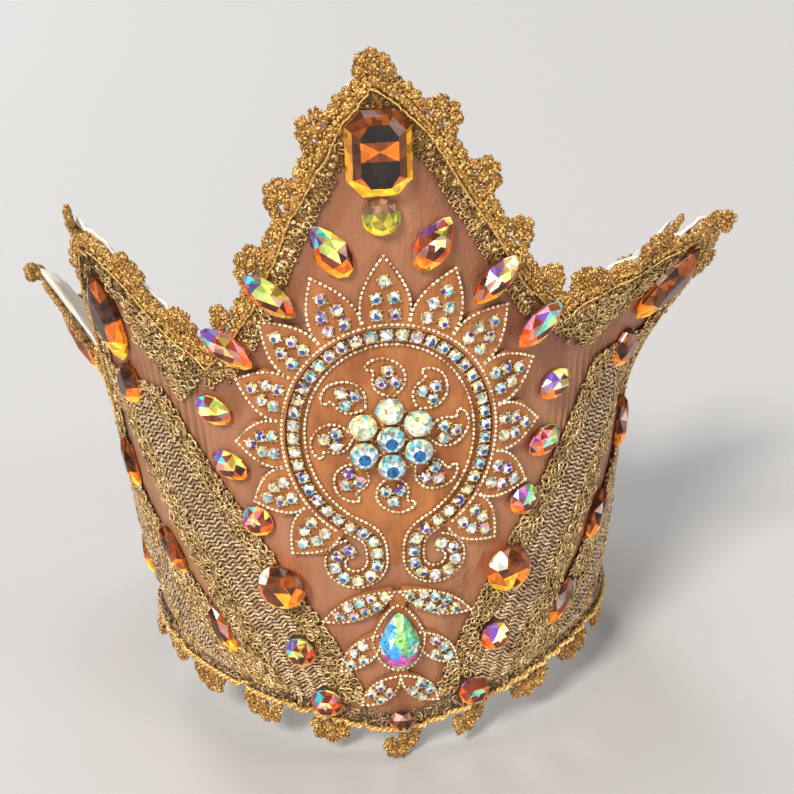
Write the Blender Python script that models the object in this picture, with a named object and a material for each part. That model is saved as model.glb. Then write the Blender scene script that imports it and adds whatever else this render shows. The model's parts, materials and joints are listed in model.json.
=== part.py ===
# A stiff fabric crown with a tall front petal, lace edging, lace bands and cut stones.
# Metres, +Z up, front facing -Y. It stands on the lowest picots of its rim lace.
# Places on the wall are an azimuth (0 at the front, + to the wearer's left, which is +X)
# and a height above the surface that the crown stands on.
import math
from collections import namedtuple

import bmesh
import bpy
from mathutils import Vector

# Wall
RIM_RADIUS = 0.0900
BODY_RADIUS = 0.1040
WALL_THICKNESS = 0.0025
SHOULDER_HEIGHT = 0.1810
RIM_ARCH = 0.0150
RIM_FEET = 3
RIM_FOOT_HALF_ANGLE = 3.8
PETAL_LEAN = 0.0360
EDGE_STRAIGHTNESS = 0.4
ROWS = 10

# Lace
LACE_THICKNESS = 0.0020
LACE_GAP = 0.0009
EDGE_LACE_GAP = 0.0014
PICOT_LENGTH = 0.0085
BRAID_WIDTH = 0.0065
BRAID_STRETCH = 1.6
PICOT_COLUMNS = 5
RIM_PICOT_DROP = 0.0120
RIM_LACE_HEIGHT = 0.0080
RIM_PICOTS = 21
BAND_HALF_ANGLE = 11.0
BAND_ROWS = 6
BAND_COLUMNS = 4

# Stones
SEAT_GAP = 0.0006
SEAT_RINGS = 6
BODY_GAP = 0.0008
SETTING_THICKNESS = 0.0010

# Height of each kind of seat above the wall
SEAT_HEIGHTS = {
    "wall": 0.0,
    "band": LACE_GAP + LACE_THICKNESS,
    "edge": EDGE_LACE_GAP + LACE_THICKNESS,
    "leaves": LACE_GAP + SETTING_THICKNESS,
}

# Sun motif on the front panel
RING_HALF_WIDTH = 0.0335
RING_HALF_HEIGHT = 0.0395
RING_OPENING = 25.0
RHINESTONE = 0.0046
RHINESTONE_PITCH = 0.0053
RHINESTONE_HEIGHT = 0.0024
SCROLL_RADIUS = 0.0085
SCROLL_OFFSET = 0.0150
SCROLL_SPACE = 0.0115
RAYS = 13
RAY_SPAN = 302.0
RAY_REACH = 0.0225
RAY_TOP_GAIN = 0.18
RAY_SIDE_LOSS = 0.20
RAY_BELT = 0.0030
RAY_THICKNESS = 0.0016
CLUSTER_STONE = 0.0100
CLUSTER_STONE_HEIGHT = 0.0044
CLUSTER_SPACE = 0.0010

# Leaves below the motif and stones above it
LEAF_SPACE = 0.0612
LEAF_SPINE = 0.0056
PEAR_FRAME = 0.0015
FOLD_PITCH = 0.0070
TIP_STONE_GAP = 0.0062
STONE_SPACE = 0.0007
TIP_SPACE = 0.0119

DEGREE = math.pi / 180.0

# One row for each cut: its width, its length, its height and the share that its table has.
Cut = namedtuple("Cut", "outline width length height table")
CUTS = {
    "cushion": Cut("octagon", 0.0215, 0.0290, 0.0075, 0.58),
    "large_round": Cut("round", 0.0200, 0.0200, 0.0066, 0.55),
    "top_round": Cut("round", 0.0140, 0.0140, 0.0050, 0.55),
    "small_round": Cut("round", 0.0135, 0.0135, 0.0048, 0.55),
    "rim_round": Cut("round", 0.0110, 0.0110, 0.0040, 0.55),
    "teardrop": Cut("teardrop", 0.0125, 0.0210, 0.0048, 0.52),
    "pear": Cut("teardrop", 0.0150, 0.0260, 0.0060, 0.52),
    "navette": Cut("navette", 0.0105, 0.0220, 0.0045, 0.50),
    "oval": Cut("round", 0.0115, 0.0165, 0.0046, 0.55),
    "petal_oval": Cut("round", 0.0130, 0.0185, 0.0050, 0.55),
    "petal_navette": Cut("navette", 0.0140, 0.0380, 0.0058, 0.50),
    "column_navette": Cut("navette", 0.0085, 0.0215, 0.0042, 0.50),
}

# The front panel's heights, from the rim up: leaves, scrolls, ring, rays, stones and tip.
RING_INNER_GAP = 0.5 * RHINESTONE + BODY_GAP
RAY_LENGTH = RAY_REACH - RAY_BELT
SUN_HALF_WIDTH = RING_HALF_WIDTH + RING_INNER_GAP + RAY_BELT + RAY_LENGTH * (1.0 - RAY_SIDE_LOSS)
SUN_HALF_HEIGHT = RING_HALF_HEIGHT + RING_INNER_GAP + RAY_BELT + RAY_LENGTH * (1.0 + RAY_TOP_GAIN)
SCROLL_DROP = RING_HALF_HEIGHT + SCROLL_SPACE
LEAVES_LOW = RIM_PICOT_DROP + RIM_LACE_HEIGHT
SCROLLS_LOW = LEAVES_LOW + LEAF_SPACE
MOTIF_HEIGHT = SCROLLS_LOW + 0.5 * RHINESTONE + SCROLL_RADIUS + SCROLL_DROP
SUN_TOP = MOTIF_HEIGHT + SUN_HALF_HEIGHT
TOP_ROUND_HEIGHT = SUN_TOP + TIP_STONE_GAP + 0.5 * CUTS["top_round"].length
TIP_STONES_PITCH = 0.5 * (CUTS["top_round"].length + CUTS["cushion"].length) + STONE_SPACE
CUSHION_HEIGHT = TOP_ROUND_HEIGHT + TIP_STONES_PITCH
WALL_TOP = CUSHION_HEIGHT + 0.5 * CUTS["cushion"].length + TIP_SPACE

# One row for each petal: its axis, its tip as a share of WALL_TOP, its lean as a share of
# PETAL_LEAN, how late that lean comes, and the columns and picots of its two edges.
Petal = namedtuple("Petal", "name azimuth tip lean curl columns picots_before picots_after")
PETALS = (
    Petal("back_left", -140.0, 0.377, 0.20, 1.4, 8, 2, 2),
    Petal("side_left", -100.0, 0.614, 0.78, 2.0, 8, 4, 3),
    Petal("front_left", -60.0, 0.786, 0.42, 1.4, 8, 4, 3),
    Petal("front", 0.0, 1.000, 0.08, 1.4, 14, 5, 5),
    Petal("front_right", 60.0, 0.739, 1.00, 1.2, 8, 3, 4),
    Petal("side_right", 100.0, 0.614, 0.78, 2.0, 8, 3, 4),
    Petal("back_right", 140.0, 0.377, 0.20, 1.4, 8, 2, 2),
    Petal("back", 180.0, 0.377, 0.20, 1.4, 8, 2, 2),
)

# One row for each valley between two petals, its height as a share of WALL_TOP.
Valley = namedtuple("Valley", "azimuth height")
VALLEYS = (
    Valley(-160.0, 0.291),
    Valley(-120.0, 0.301),
    Valley(-80.0, 0.439),
    Valley(-36.0, 0.632),
    Valley(38.0, 0.661),
    Valley(80.0, 0.439),
    Valley(120.0, 0.301),
    Valley(160.0, 0.291),
    Valley(200.0, 0.291),
)

# One row for each pair of lace bands: the azimuth and the height share of the upper end,
# the azimuth at the rim, and how the path bends between them.
Band = namedtuple("Band", "name top_azimuth top rim_azimuth bend")
BANDS = (
    Band("front", 61.0, 0.511, 20.0, 1.30),
    Band("side", 87.0, 0.377, 45.0, 1.15),
    Band("back_side", 138.0, 0.256, 112.0, 1.00),
)
BACK_BAND = Band("back", 180.0, 0.267, 180.0, 1.00)

# One row for each corner of half a picot's outline: how far it is from the picot's middle,
# as a share of the picot pitch, and how far it reaches, as a share of the picot's length.
Corner = namedtuple("Corner", "phase reach")
PICOT_OUTLINE = (Corner(0.00, 1.00), Corner(0.12, 1.00), Corner(0.32, 0.72), Corner(0.48, 0.10))

# One row for each pair of stones round the sun: its places across and up from the sun's
# centre, as shares of the sun's half width and half height, how far its upper end leans away
# from the centre line, and what it is seated on.
SunStone = namedtuple("SunStone", "name cut across up lean seat")
SUN_STONES = (
    SunStone("teardrop_stone", "teardrop", 0.307, 1.029, 32.0, "wall"),
    SunStone("navette_stone_1", "navette", 0.676, 0.810, 52.0, "edge"),
    SunStone("navette_stone_2", "navette", 0.979, 0.503, 58.0, "edge"),
    SunStone("oval_stone_1", "oval", 1.156, 0.108, 75.0, "wall"),
    SunStone("oval_stone_2", "oval", 1.065, -0.203, 70.0, "wall"),
    SunStone("round_stone_1", "small_round", 0.897, -0.518, 0.0, "wall"),
)

# One row for each pair of stones beside the leaves: its place across as a share of the sun's
# half width, and its height as a share of the leaves' space.
LeafStone = namedtuple("LeafStone", "name cut across up")
LEAF_STONES = (
    LeafStone("large_round_stone", "large_round", 0.742, 1.014),
    LeafStone("round_stone_2", "small_round", 0.648, 0.531),
    LeafStone("round_stone_3", "small_round", 0.489, 0.147),
)

# One row for each pair of stones on the sides: its azimuth, its height as a share of WALL_TOP
# and how far its upper end leans away from the centre line.
SideStone = namedtuple("SideStone", "name cut azimuth height lean")
SIDE_STONES = (
    SideStone("column_stone_1", "column_navette", 71.5, 0.395, 28.0),
    SideStone("column_stone_2", "column_navette", 56.0, 0.293, 38.0),
    SideStone("column_stone_3", "column_navette", 42.8, 0.190, 33.0),
    SideStone("column_stone_4", "column_navette", 106.0, 0.286, 30.0),
    SideStone("column_stone_5", "column_navette", 91.0, 0.181, 34.0),
    SideStone("front_petal_navette", "petal_navette", 60.0, 0.651, 0.0),
    SideStone("front_petal_oval", "petal_oval", 60.0, 0.548, 0.0),
    SideStone("side_petal_navette", "petal_navette", 100.0, 0.510, 0.0),
    SideStone("side_petal_oval", "petal_oval", 99.5, 0.412, 0.0),
    SideStone("back_petal_stone", "small_round", 140.0, 0.301, 0.0),
)
BACK_STONE = SideStone("back_petal_stone_middle", "small_round", 180.0, 0.303, 0.0)

# One row for each pair of leaves below the motif: its base and its tip, across as shares of
# the sun's half width and up as shares of the leaves' space, and its half width.
Leaf = namedtuple("Leaf", "base_across base_up tip_across tip_up half_width")
LEAVES = (
    Leaf(0.018, 0.965, 0.489, 0.752, 0.0048),
    Leaf(0.109, 0.654, 0.390, 0.376, 0.0050),
    Leaf(0.000, 0.327, 0.254, 0.101, 0.0046),
)
PEAR_UP = 0.621


def clear_scene():
    for old in list(bpy.data.objects):
        bpy.data.objects.remove(old, do_unlink=True)


def make_material(name, colour, roughness, metallic):
    material = bpy.data.materials.new(name)
    material.use_nodes = True
    shader = material.node_tree.nodes["Principled BSDF"]
    shader.inputs["Base Color"].default_value = (*colour, 1.0)
    shader.inputs["Roughness"].default_value = roughness
    shader.inputs["Metallic"].default_value = metallic
    material.diffuse_color = (*colour, 1.0)
    return material


# Shape of the wall

def rim_height(azimuth):
    """Height of the wall's lower edge: a shallow arch between each two level low places."""
    level = math.sin(0.5 * RIM_FEET * RIM_FOOT_HALF_ANGLE * DEGREE)
    rise = abs(math.sin(0.5 * RIM_FEET * azimuth * DEGREE)) - level
    return RIM_PICOT_DROP + RIM_ARCH * max(0.0, rise) / (1.0 - level)


def petal_at(azimuth):
    """The petal that an azimuth falls in, with its two valleys and the wrapped azimuth."""
    wrapped = (azimuth - VALLEYS[0].azimuth) % 360.0 + VALLEYS[0].azimuth
    for petal, before, after in zip(PETALS, VALLEYS, VALLEYS[1:]):
        if wrapped <= after.azimuth:
            return petal, before, after, wrapped
    return PETALS[-1], VALLEYS[-2], VALLEYS[-1], wrapped


def edge_height(azimuth):
    """Height of the wall's top edge, part straight and part a cosine from tip to valley."""
    petal, before, after, wrapped = petal_at(azimuth)
    valley = before if wrapped < petal.azimuth else after
    away = abs(wrapped - petal.azimuth) / abs(valley.azimuth - petal.azimuth)
    share = EDGE_STRAIGHTNESS * (1.0 - away)
    share += (1.0 - EDGE_STRAIGHTNESS) * 0.5 * (1.0 + math.cos(math.pi * away))
    return WALL_TOP * (valley.height + (petal.tip - valley.height) * share)


def smooth_radius(azimuth, height):
    """Radius of the outer face: the body's curve and, above the valleys, the petal's lean."""
    base = RIM_PICOT_DROP
    along = (height - base) / (SHOULDER_HEIGHT - base)
    along = min(max(along, 0.0), 4.0 / 3.0)
    radius = RIM_RADIUS + (BODY_RADIUS - RIM_RADIUS) * (1.6 * along - 0.6 * along * along)
    petal, before, after, wrapped = petal_at(azimuth)
    span = (wrapped - before.azimuth) / (after.azimuth - before.azimuth)
    centre = (petal.azimuth - before.azimuth) / (after.azimuth - before.azimuth)
    root = WALL_TOP * (before.height + (after.height - before.height) * span)
    root_centre = WALL_TOP * (before.height + (after.height - before.height) * centre)
    rise = max(0.0, height - root) / (WALL_TOP * petal.tip - root_centre)
    return radius + PETAL_LEAN * petal.lean * rise ** petal.curl


def row_share(row):
    """Rows are closer together towards the top, where the petals lean out."""
    return (row / ROWS) ** 0.8


def wall_azimuths():
    """Azimuths of the wall's columns, with one at every tip and every valley."""
    azimuths = []
    for petal, before, after in zip(PETALS, VALLEYS, VALLEYS[1:]):
        half = petal.columns // 2
        for column in range(half):
            azimuths.append(before.azimuth + (petal.azimuth - before.azimuth) * column / half)
        for column in range(half):
            azimuths.append(petal.azimuth + (after.azimuth - petal.azimuth) * column / half)
    azimuths.append(VALLEYS[-1].azimuth)
    return azimuths


def turned_point(azimuth, radius, height):
    angle = azimuth * DEGREE
    return Vector((radius * math.sin(angle), -radius * math.cos(angle), height))


def wall_column(azimuth):
    """Points of one column of the wall's outer face, from its lower to its top edge."""
    low = rim_height(azimuth)
    high = edge_height(azimuth)
    column = []
    for row in range(ROWS + 1):
        height = low + (high - low) * row_share(row)
        column.append(turned_point(azimuth, smooth_radius(azimuth, height), height))
    return column


WALL_AZIMUTHS = wall_azimuths()
WALL_COLUMNS = [wall_column(azimuth) for azimuth in WALL_AZIMUTHS]


def wall_radius(azimuth, height):
    """Radius of the wall's flat facets at a place, so that what lies on them fits."""
    wrapped = (azimuth - VALLEYS[0].azimuth) % 360.0 + VALLEYS[0].azimuth
    index = max(item for item in range(len(WALL_AZIMUTHS) - 1) if WALL_AZIMUTHS[item] <= wrapped)
    first = WALL_AZIMUTHS[index]
    share = (wrapped - first) / (WALL_AZIMUTHS[index + 1] - first)
    pairs = zip(WALL_COLUMNS[index], WALL_COLUMNS[index + 1])
    points = [before.lerp(after, share) for before, after in pairs]
    if height <= points[0].z:
        return points[0].xy.length
    row = max(item for item in range(ROWS) if points[item].z <= height)
    below = points[row]
    above = points[row + 1]
    return below.lerp(above, (height - below.z) / (above.z - below.z)).xy.length


def front_reach():
    return wall_radius(0.0, WALL_TOP)


def back_reach():
    return wall_radius(180.0, edge_height(180.0))


AXIS_Y = 0.5 * (front_reach() - back_reach())


def axis_point(azimuth, radius, height):
    return turned_point(azimuth, radius, height) + Vector((0.0, AXIS_Y, 0.0))


def face_point(azimuth, height):
    return axis_point(azimuth, wall_radius(azimuth, height), height)


def face_frame(azimuth, height):
    """Across, up and outward directions on the wall's outer face."""
    step = 0.8
    rise = 0.004
    low = max(height - rise, rim_height(azimuth))
    across = face_point(azimuth + step, height) - face_point(azimuth - step, height)
    up = face_point(azimuth, low + 2.0 * rise) - face_point(azimuth, low)
    outward = across.cross(up).normalized()
    up.normalize()
    across = up.cross(outward).normalized()
    return across, up, outward


def off_face(azimuth, height, offset):
    """Point at a distance off the wall's outer face."""
    across, up, outward = face_frame(azimuth, height)
    return face_point(azimuth, height) + outward * offset


def front_azimuth(across, height):
    """Azimuth of a place given as a length across from the front's centre line."""
    return across / wall_radius(0.0, height) / DEGREE


def off_front(across, height, offset):
    """Point off the front of the wall, for a place across from its centre line."""
    return off_face(front_azimuth(across, height), height, offset)


# Meshes

def finish_object(name, mesh_data, material):
    bmesh.ops.recalc_face_normals(mesh_data, faces=mesh_data.faces)
    if mesh_data.calc_volume(signed=True) < 0.0:
        bmesh.ops.reverse_faces(mesh_data, faces=mesh_data.faces)
    mesh = bpy.data.meshes.new(name)
    mesh_data.to_mesh(mesh)
    mesh_data.free()
    mesh.materials.append(material)
    thing = bpy.data.objects.new(name, mesh)
    bpy.context.collection.objects.link(thing)
    return thing


def slab(name, material, columns, rows, surface, closed_ring):
    """Sheet with two faces: surface gives the point at (along, up, depth), each 0 to 1."""
    sheet = bmesh.new()
    bmesh.ops.create_grid(sheet, x_segments=columns, y_segments=rows, size=0.5)
    grown = bmesh.ops.extrude_face_region(sheet, geom=sheet.faces[:])
    lifted = [item for item in grown["geom"] if isinstance(item, bmesh.types.BMVert)]
    bmesh.ops.translate(sheet, verts=lifted, vec=(0.0, 0.0, 1.0))
    if closed_ring:
        ends = [face for face in sheet.faces if abs(face.calc_center_median().x) > 0.4999]
        bmesh.ops.delete(sheet, geom=ends, context="FACES_ONLY")
    for vert in sheet.verts:
        vert.co = surface(vert.co.x + 0.5, vert.co.y + 0.5, vert.co.z)
    if closed_ring:
        bmesh.ops.remove_doubles(sheet, verts=sheet.verts, dist=0.00001)
    return finish_object(name, sheet, material)


def build_wall(material):
    columns = len(WALL_AZIMUTHS) - 1

    def surface(along, up, depth):
        index = round(along * columns)
        azimuth = WALL_AZIMUTHS[index]
        point = WALL_COLUMNS[index][round(up * ROWS)]
        across, rising, outward = face_frame(azimuth, point.z)
        thickness = WALL_THICKNESS / max(outward.dot(turned_point(azimuth, 1.0, 0.0)), 0.6)
        radius = point.xy.length - (1.0 - depth) * thickness
        return axis_point(azimuth, radius, point.z)

    return slab("crown_wall", material, columns, ROWS, surface, True)


# Lace along the edges

def edge_samples(start, end, picots):
    """Azimuths of the lace columns along one petal edge, evenly by length."""
    fine = 60
    azimuths = [start + (end - start) * step / fine for step in range(fine + 1)]
    points = [face_point(azimuth, edge_height(azimuth)) for azimuth in azimuths]
    lengths = [0.0]
    for first, second in zip(points, points[1:]):
        lengths.append(lengths[-1] + (second - first).length)
    count = round((picots - 0.5) * PICOT_COLUMNS)
    places = []
    for sample in range(count):
        target = lengths[-1] * sample / count
        step = max(index for index in range(fine) if lengths[index] <= target)
        share = (target - lengths[step]) / (lengths[step + 1] - lengths[step])
        places.append(azimuths[step] + (azimuths[step + 1] - azimuths[step]) * share)
    return places


def edge_lace_columns():
    """Every column of the edge lace: its azimuth and its place in the picot's outline."""
    columns = []
    for petal, before, after in zip(PETALS, VALLEYS, VALLEYS[1:]):
        rising = edge_samples(before.azimuth, petal.azimuth, petal.picots_before)
        falling = edge_samples(petal.azimuth, after.azimuth, petal.picots_after)
        for index, azimuth in enumerate(rising):
            phase = index / PICOT_COLUMNS - 0.5
            columns.append((azimuth, phase - round(phase)))
        for index, azimuth in enumerate(falling):
            phase = index / PICOT_COLUMNS
            columns.append((azimuth, phase - round(phase)))
    columns.append((VALLEYS[-1].azimuth, -0.5))
    return columns


def picot_out(phase):
    """How far the picot's outline reaches at a phase, as a share of its length."""
    for near, far in zip(PICOT_OUTLINE, PICOT_OUTLINE[1:]):
        if abs(phase) <= far.phase:
            share = (abs(phase) - near.phase) / (far.phase - near.phase)
            return near.reach + (far.reach - near.reach) * share
    return PICOT_OUTLINE[-1].reach


def edge_direction(azimuth):
    """Direction along the top edge at an azimuth."""
    step = 0.6
    after = face_point(azimuth + step, edge_height(azimuth + step))
    before = face_point(azimuth - step, edge_height(azimuth - step))
    return (after - before).normalized()


def build_edge_lace(material):
    columns = edge_lace_columns()

    def surface(along, up, depth):
        azimuth, phase = columns[round(along * (len(columns) - 1))]
        height = edge_height(azimuth)
        offset = EDGE_LACE_GAP + depth * LACE_THICKNESS
        direction = edge_direction(azimuth)
        across, rising, outward = face_frame(azimuth, height - 0.004)
        beyond = outward.cross(direction).normalized()
        level = max(abs(direction.dot(across)), 1.0 / BRAID_STRETCH)
        if up < 0.25:
            return off_face(azimuth, height - BRAID_WIDTH / level, offset)
        edge = face_point(azimuth, height) + outward * offset
        if up < 0.75:
            return edge
        return edge + beyond * PICOT_LENGTH * picot_out(phase)

    return slab("edge_lace", material, len(columns) - 1, 2, surface, True)


def build_rim_lace(material):
    columns = RIM_PICOTS * PICOT_COLUMNS

    def surface(along, up, depth):
        step = round(along * columns)
        azimuth = 360.0 * (step + 0.5) / columns
        phase = (step + 0.5) / PICOT_COLUMNS
        phase -= round(phase)
        low = rim_height(azimuth)
        offset = LACE_GAP + depth * LACE_THICKNESS
        if up > 0.5:
            return off_face(azimuth, low + RIM_LACE_HEIGHT, offset)
        height = low - RIM_PICOT_DROP * picot_out(phase)
        radius = wall_radius(azimuth, low) + offset
        return axis_point(azimuth, radius, height)

    return slab("rim_lace", material, columns, 1, surface, True)


def band_centre(band, height):
    """Azimuth of a band's centre line at a height."""
    low = RIM_PICOT_DROP + RIM_LACE_HEIGHT
    share = (height - low) / (WALL_TOP * band.top - low)
    return band.rim_azimuth + (band.top_azimuth - band.rim_azimuth) * max(share, 0.0) ** band.bend


def build_band(name, material, band, side):
    def surface(along, up, depth):
        top = WALL_TOP * band.top
        across = (along - 0.5) * 2.0 * BAND_HALF_ANGLE
        guess = side * (band.rim_azimuth + across)
        low = rim_height(guess) + RIM_LACE_HEIGHT + SEAT_GAP
        height = low + (top - low) * up
        azimuth = side * (band_centre(band, height) + across)
        floor = rim_height(azimuth) + RIM_LACE_HEIGHT + SEAT_GAP
        return off_face(azimuth, max(height, floor), LACE_GAP + depth * LACE_THICKNESS)

    return slab(name, material, BAND_COLUMNS, BAND_ROWS, surface, False)


# Cut stones

def outline_points(cut):
    """Eight points of a stone's outline, counter-clockwise, for a width and a length."""
    half_width = 0.5 * cut.width
    half_length = 0.5 * cut.length
    points = []
    for step in range(8):
        angle = math.pi * (step + 0.5) / 4.0
        if cut.outline in ("navette", "teardrop"):
            angle = math.pi * step / 4.0
        across = math.cos(angle)
        up = math.sin(angle)
        if cut.outline == "octagon":
            points.append((half_width * across * 1.0824, half_length * up * 1.0824))
            continue
        if cut.outline == "navette":
            across = math.copysign(abs(across) ** 1.25, across) if abs(across) > 1e-6 else 0.0
            up = math.copysign(abs(up) ** 0.85, up) if abs(up) > 1e-6 else 0.0
        if cut.outline == "teardrop":
            across *= 1.0 - 0.42 * max(up, 0.0)
        points.append((half_width * across, half_length * up))
    return points


def stone_mesh(cut):
    """A flat-backed stone: girdle, eight crown facets and a table."""
    body = bmesh.new()
    layers = ((0.0, 0.94), (0.32 * cut.height, 1.0), (cut.height, cut.table))
    outline = outline_points(cut)
    lower = [body.verts.new((x * layers[0][1], y * layers[0][1], 0.0)) for x, y in outline]
    face = body.faces.new(lower)
    for (height_before, scale_before), (height, scale) in zip(layers, layers[1:]):
        grown = bmesh.ops.extrude_face_region(body, geom=[face])
        if height_before > 0.0:
            bmesh.ops.delete(body, geom=[face], context="FACES_ONLY")
        face = [item for item in grown["geom"] if isinstance(item, bmesh.types.BMFace)][0]
        ratio = scale / scale_before
        bmesh.ops.translate(body, verts=face.verts, vec=(0.0, 0.0, height - height_before))
        bmesh.ops.scale(body, verts=face.verts, vec=(ratio, ratio, 1.0))
    return body


def seat_frame(azimuth, height, lean):
    """Directions of a stone that leans by an angle, and the point below it on the wall."""
    across, up, outward = face_frame(azimuth, height)
    turn = -lean * DEGREE
    side = across * math.cos(turn) + up * math.sin(turn)
    top = up * math.cos(turn) - across * math.sin(turn)
    return side, top, outward, face_point(azimuth, height)


def seat_lift(outline, frame):
    """How far a flat back has to stand off to clear the wall's curve below it."""
    side, top, outward, base = frame
    lift = 0.0
    middles = []
    for before, after in zip(outline, outline[1:] + outline[:1]):
        middles.append((0.5 * (before[0] + after[0]), 0.5 * (before[1] + after[1])))
    shares = [step / SEAT_RINGS for step in range(SEAT_RINGS + 1)]
    for x, y, share in [(x, y, share) for x, y in outline + middles for share in shares]:
        spot = base + side * x * share + top * y * share
        azimuth = math.atan2(spot.x, AXIS_Y - spot.y) / DEGREE
        wall = face_point(azimuth, spot.z)
        lift = max(lift, (wall - spot).dot(outward))
    return lift


def leaves_height(share):
    return LEAVES_LOW + LEAF_SPACE * share


def build_stone(name, material, cut_name, azimuth, height, lean, seat):
    cut = CUTS[cut_name]
    frame = seat_frame(azimuth, height, lean)
    lift = SEAT_HEIGHTS[seat] + SEAT_GAP + seat_lift(outline_points(cut), frame)
    across, top, outward, base = frame
    body = stone_mesh(cut)
    for vert in body.verts:
        x, y, z = vert.co
        vert.co = base + across * x + top * y + outward * (z + lift)
    return finish_object(name, body, material)


def build_stones(amber, aurora, crystal):
    build_stone("cushion_stone", amber, "cushion", 0.0, CUSHION_HEIGHT, 0.0, "wall")
    build_stone("top_round_stone", amber, "top_round", 0.0, TOP_ROUND_HEIGHT, 0.0, "wall")
    build_stone("rim_stone", amber, "rim_round", 0.0, LEAVES_LOW, 0.0, "band")
    build_stone("pear_stone", crystal, "pear", 0.0, leaves_height(PEAR_UP), 0.0, "leaves")
    for label, side in (("left", -1.0), ("right", 1.0)):
        for stone in SUN_STONES:
            height = MOTIF_HEIGHT + SUN_HALF_HEIGHT * stone.up
            azimuth = front_azimuth(side * SUN_HALF_WIDTH * stone.across, height)
            build_stone(f"{stone.name}_{label}", aurora, stone.cut, azimuth, height,
                        side * stone.lean, stone.seat)
        for stone in LEAF_STONES:
            height = leaves_height(stone.up)
            azimuth = front_azimuth(side * SUN_HALF_WIDTH * stone.across, height)
            material = amber if stone.cut == "large_round" else aurora
            build_stone(f"{stone.name}_{label}", material, stone.cut, azimuth, height, 0.0, "band")
        for stone in SIDE_STONES:
            build_stone(f"{stone.name}_{label}", amber, stone.cut, side * stone.azimuth,
                        WALL_TOP * stone.height, side * stone.lean, "wall")
    build_stone(BACK_STONE.name, amber, BACK_STONE.cut, BACK_STONE.azimuth,
                WALL_TOP * BACK_STONE.height, 0.0, "wall")


# Sun motif

def ring_point(angle, grow):
    """Point of the motif's egg-shaped ring, grown outward by a length, from its centre."""
    turn = angle * DEGREE
    across = (RING_HALF_WIDTH + grow) * math.sin(turn)
    up = (RING_HALF_HEIGHT + grow) * math.cos(turn)
    return Vector((across, up, 0.0))


def string_path():
    """Half of the stone string's centre line, from the ring's top to the scroll's end."""
    points = []
    last = 180.0 - RING_OPENING
    for step in range(41):
        points.append(ring_point(last * step / 40, 0.0))
    start = points[-1]
    heading = (ring_point(last, 0.0) - ring_point(last - 1.0, 0.0)).normalized()
    scroll = Vector((SCROLL_OFFSET, -SCROLL_DROP, 0.0))
    end = scroll + Vector((-SCROLL_RADIUS, 0.0, 0.0))
    reach = 0.5 * (end - start).length
    inner_start = start + heading * reach
    inner_end = end + Vector((0.0, reach, 0.0))
    for step in range(1, 11):
        t = step / 10
        points.append(start * (1 - t) ** 3 + inner_start * 3 * t * (1 - t) ** 2
                      + inner_end * 3 * t * t * (1 - t) + end * t ** 3)
    for step in range(1, 21):
        turn = math.pi + 1.42 * math.pi * step / 20
        radius = SCROLL_RADIUS * (1.0 - 0.30 * step / 20)
        points.append(scroll + Vector((radius * math.cos(turn), radius * math.sin(turn), 0.0)))
    return points


def even_points(points, pitch):
    """Points at an even pitch along a path, with the direction at each."""
    lengths = [0.0]
    for first, second in zip(points, points[1:]):
        lengths.append(lengths[-1] + (second - first).length)
    count = round(lengths[-1] / pitch)
    places = []
    for index in range(count + 1):
        target = min(lengths[-1] * index / count, lengths[-1] - 1e-7)
        step = max(item for item in range(len(points) - 1) if lengths[item] <= target)
        share = (target - lengths[step]) / (lengths[step + 1] - lengths[step])
        spot = points[step].lerp(points[step + 1], share)
        direction = (points[step + 1] - points[step]).normalized()
        places.append((spot, direction))
    return places


def build_stone_string(material):
    """Small stones on one strip, each rising from its square seat to an octagonal table."""
    half = string_path()
    mirrored = [Vector((-point.x, point.y, 0.0)) for point in reversed(half[1:])]
    stations = even_points(mirrored + half, RHINESTONE_PITCH)
    strip = bmesh.new()
    corners = []
    for spot, direction in stations:
        side = Vector((-direction.y, direction.x, 0.0)) * 0.5 * RHINESTONE
        pair = []
        for sign in (1.0, -1.0):
            place = spot + side * sign
            low = strip.verts.new((place.x, place.y, 0.0))
            high = strip.verts.new((place.x, place.y, SETTING_THICKNESS))
            pair.append((low, high))
        corners.append(pair)
    for first, second in zip(corners, corners[1:]):
        (left_low, left_high), (right_low, right_high) = first
        (next_left_low, next_left_high), (next_right_low, next_right_high) = second
        strip.faces.new((left_low, next_left_low, next_right_low, right_low))
        strip.faces.new((left_low, left_high, next_left_high, next_left_low))
        strip.faces.new((right_low, next_right_low, next_right_high, right_high))
        seat = (left_high, next_left_high, next_right_high, right_high)
        add_square_stone(strip, seat)
    for pair, turn in ((corners[0], 1), (corners[-1], -1)):
        (left_low, left_high), (right_low, right_high) = pair
        strip.faces.new((left_low, right_low, right_high, left_high)[::turn])
    place_on_front(strip)
    return finish_object("stone_string", strip, material)


def add_square_stone(body, seat):
    """Facets from a square seat of four corners up to an octagonal table."""
    centre = sum((corner.co for corner in seat), Vector()) / 4.0
    table = []
    for index, corner in enumerate(seat):
        before = seat[index - 1].co
        after = seat[(index + 1) % 4].co
        for neighbour in (before, after):
            spot = corner.co.lerp(neighbour, 0.32)
            spot = centre + (spot - centre) * 0.72
            spot.z = RHINESTONE_HEIGHT
            table.append(body.verts.new(spot))
    for index, corner in enumerate(seat):
        body.faces.new((corner, table[2 * index], table[2 * index + 1]))
        following = seat[(index + 1) % 4]
        body.faces.new((corner, table[2 * index + 1], table[(2 * index + 2) % 8], following))
    body.faces.new(table)


def place_on_front(body):
    """Lay a flat mesh, centred on the motif, on the front of the wall."""
    for vert in body.verts:
        x, y, z = vert.co
        vert.co = off_front(x, MOTIF_HEIGHT + y, LACE_GAP + z)


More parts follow.
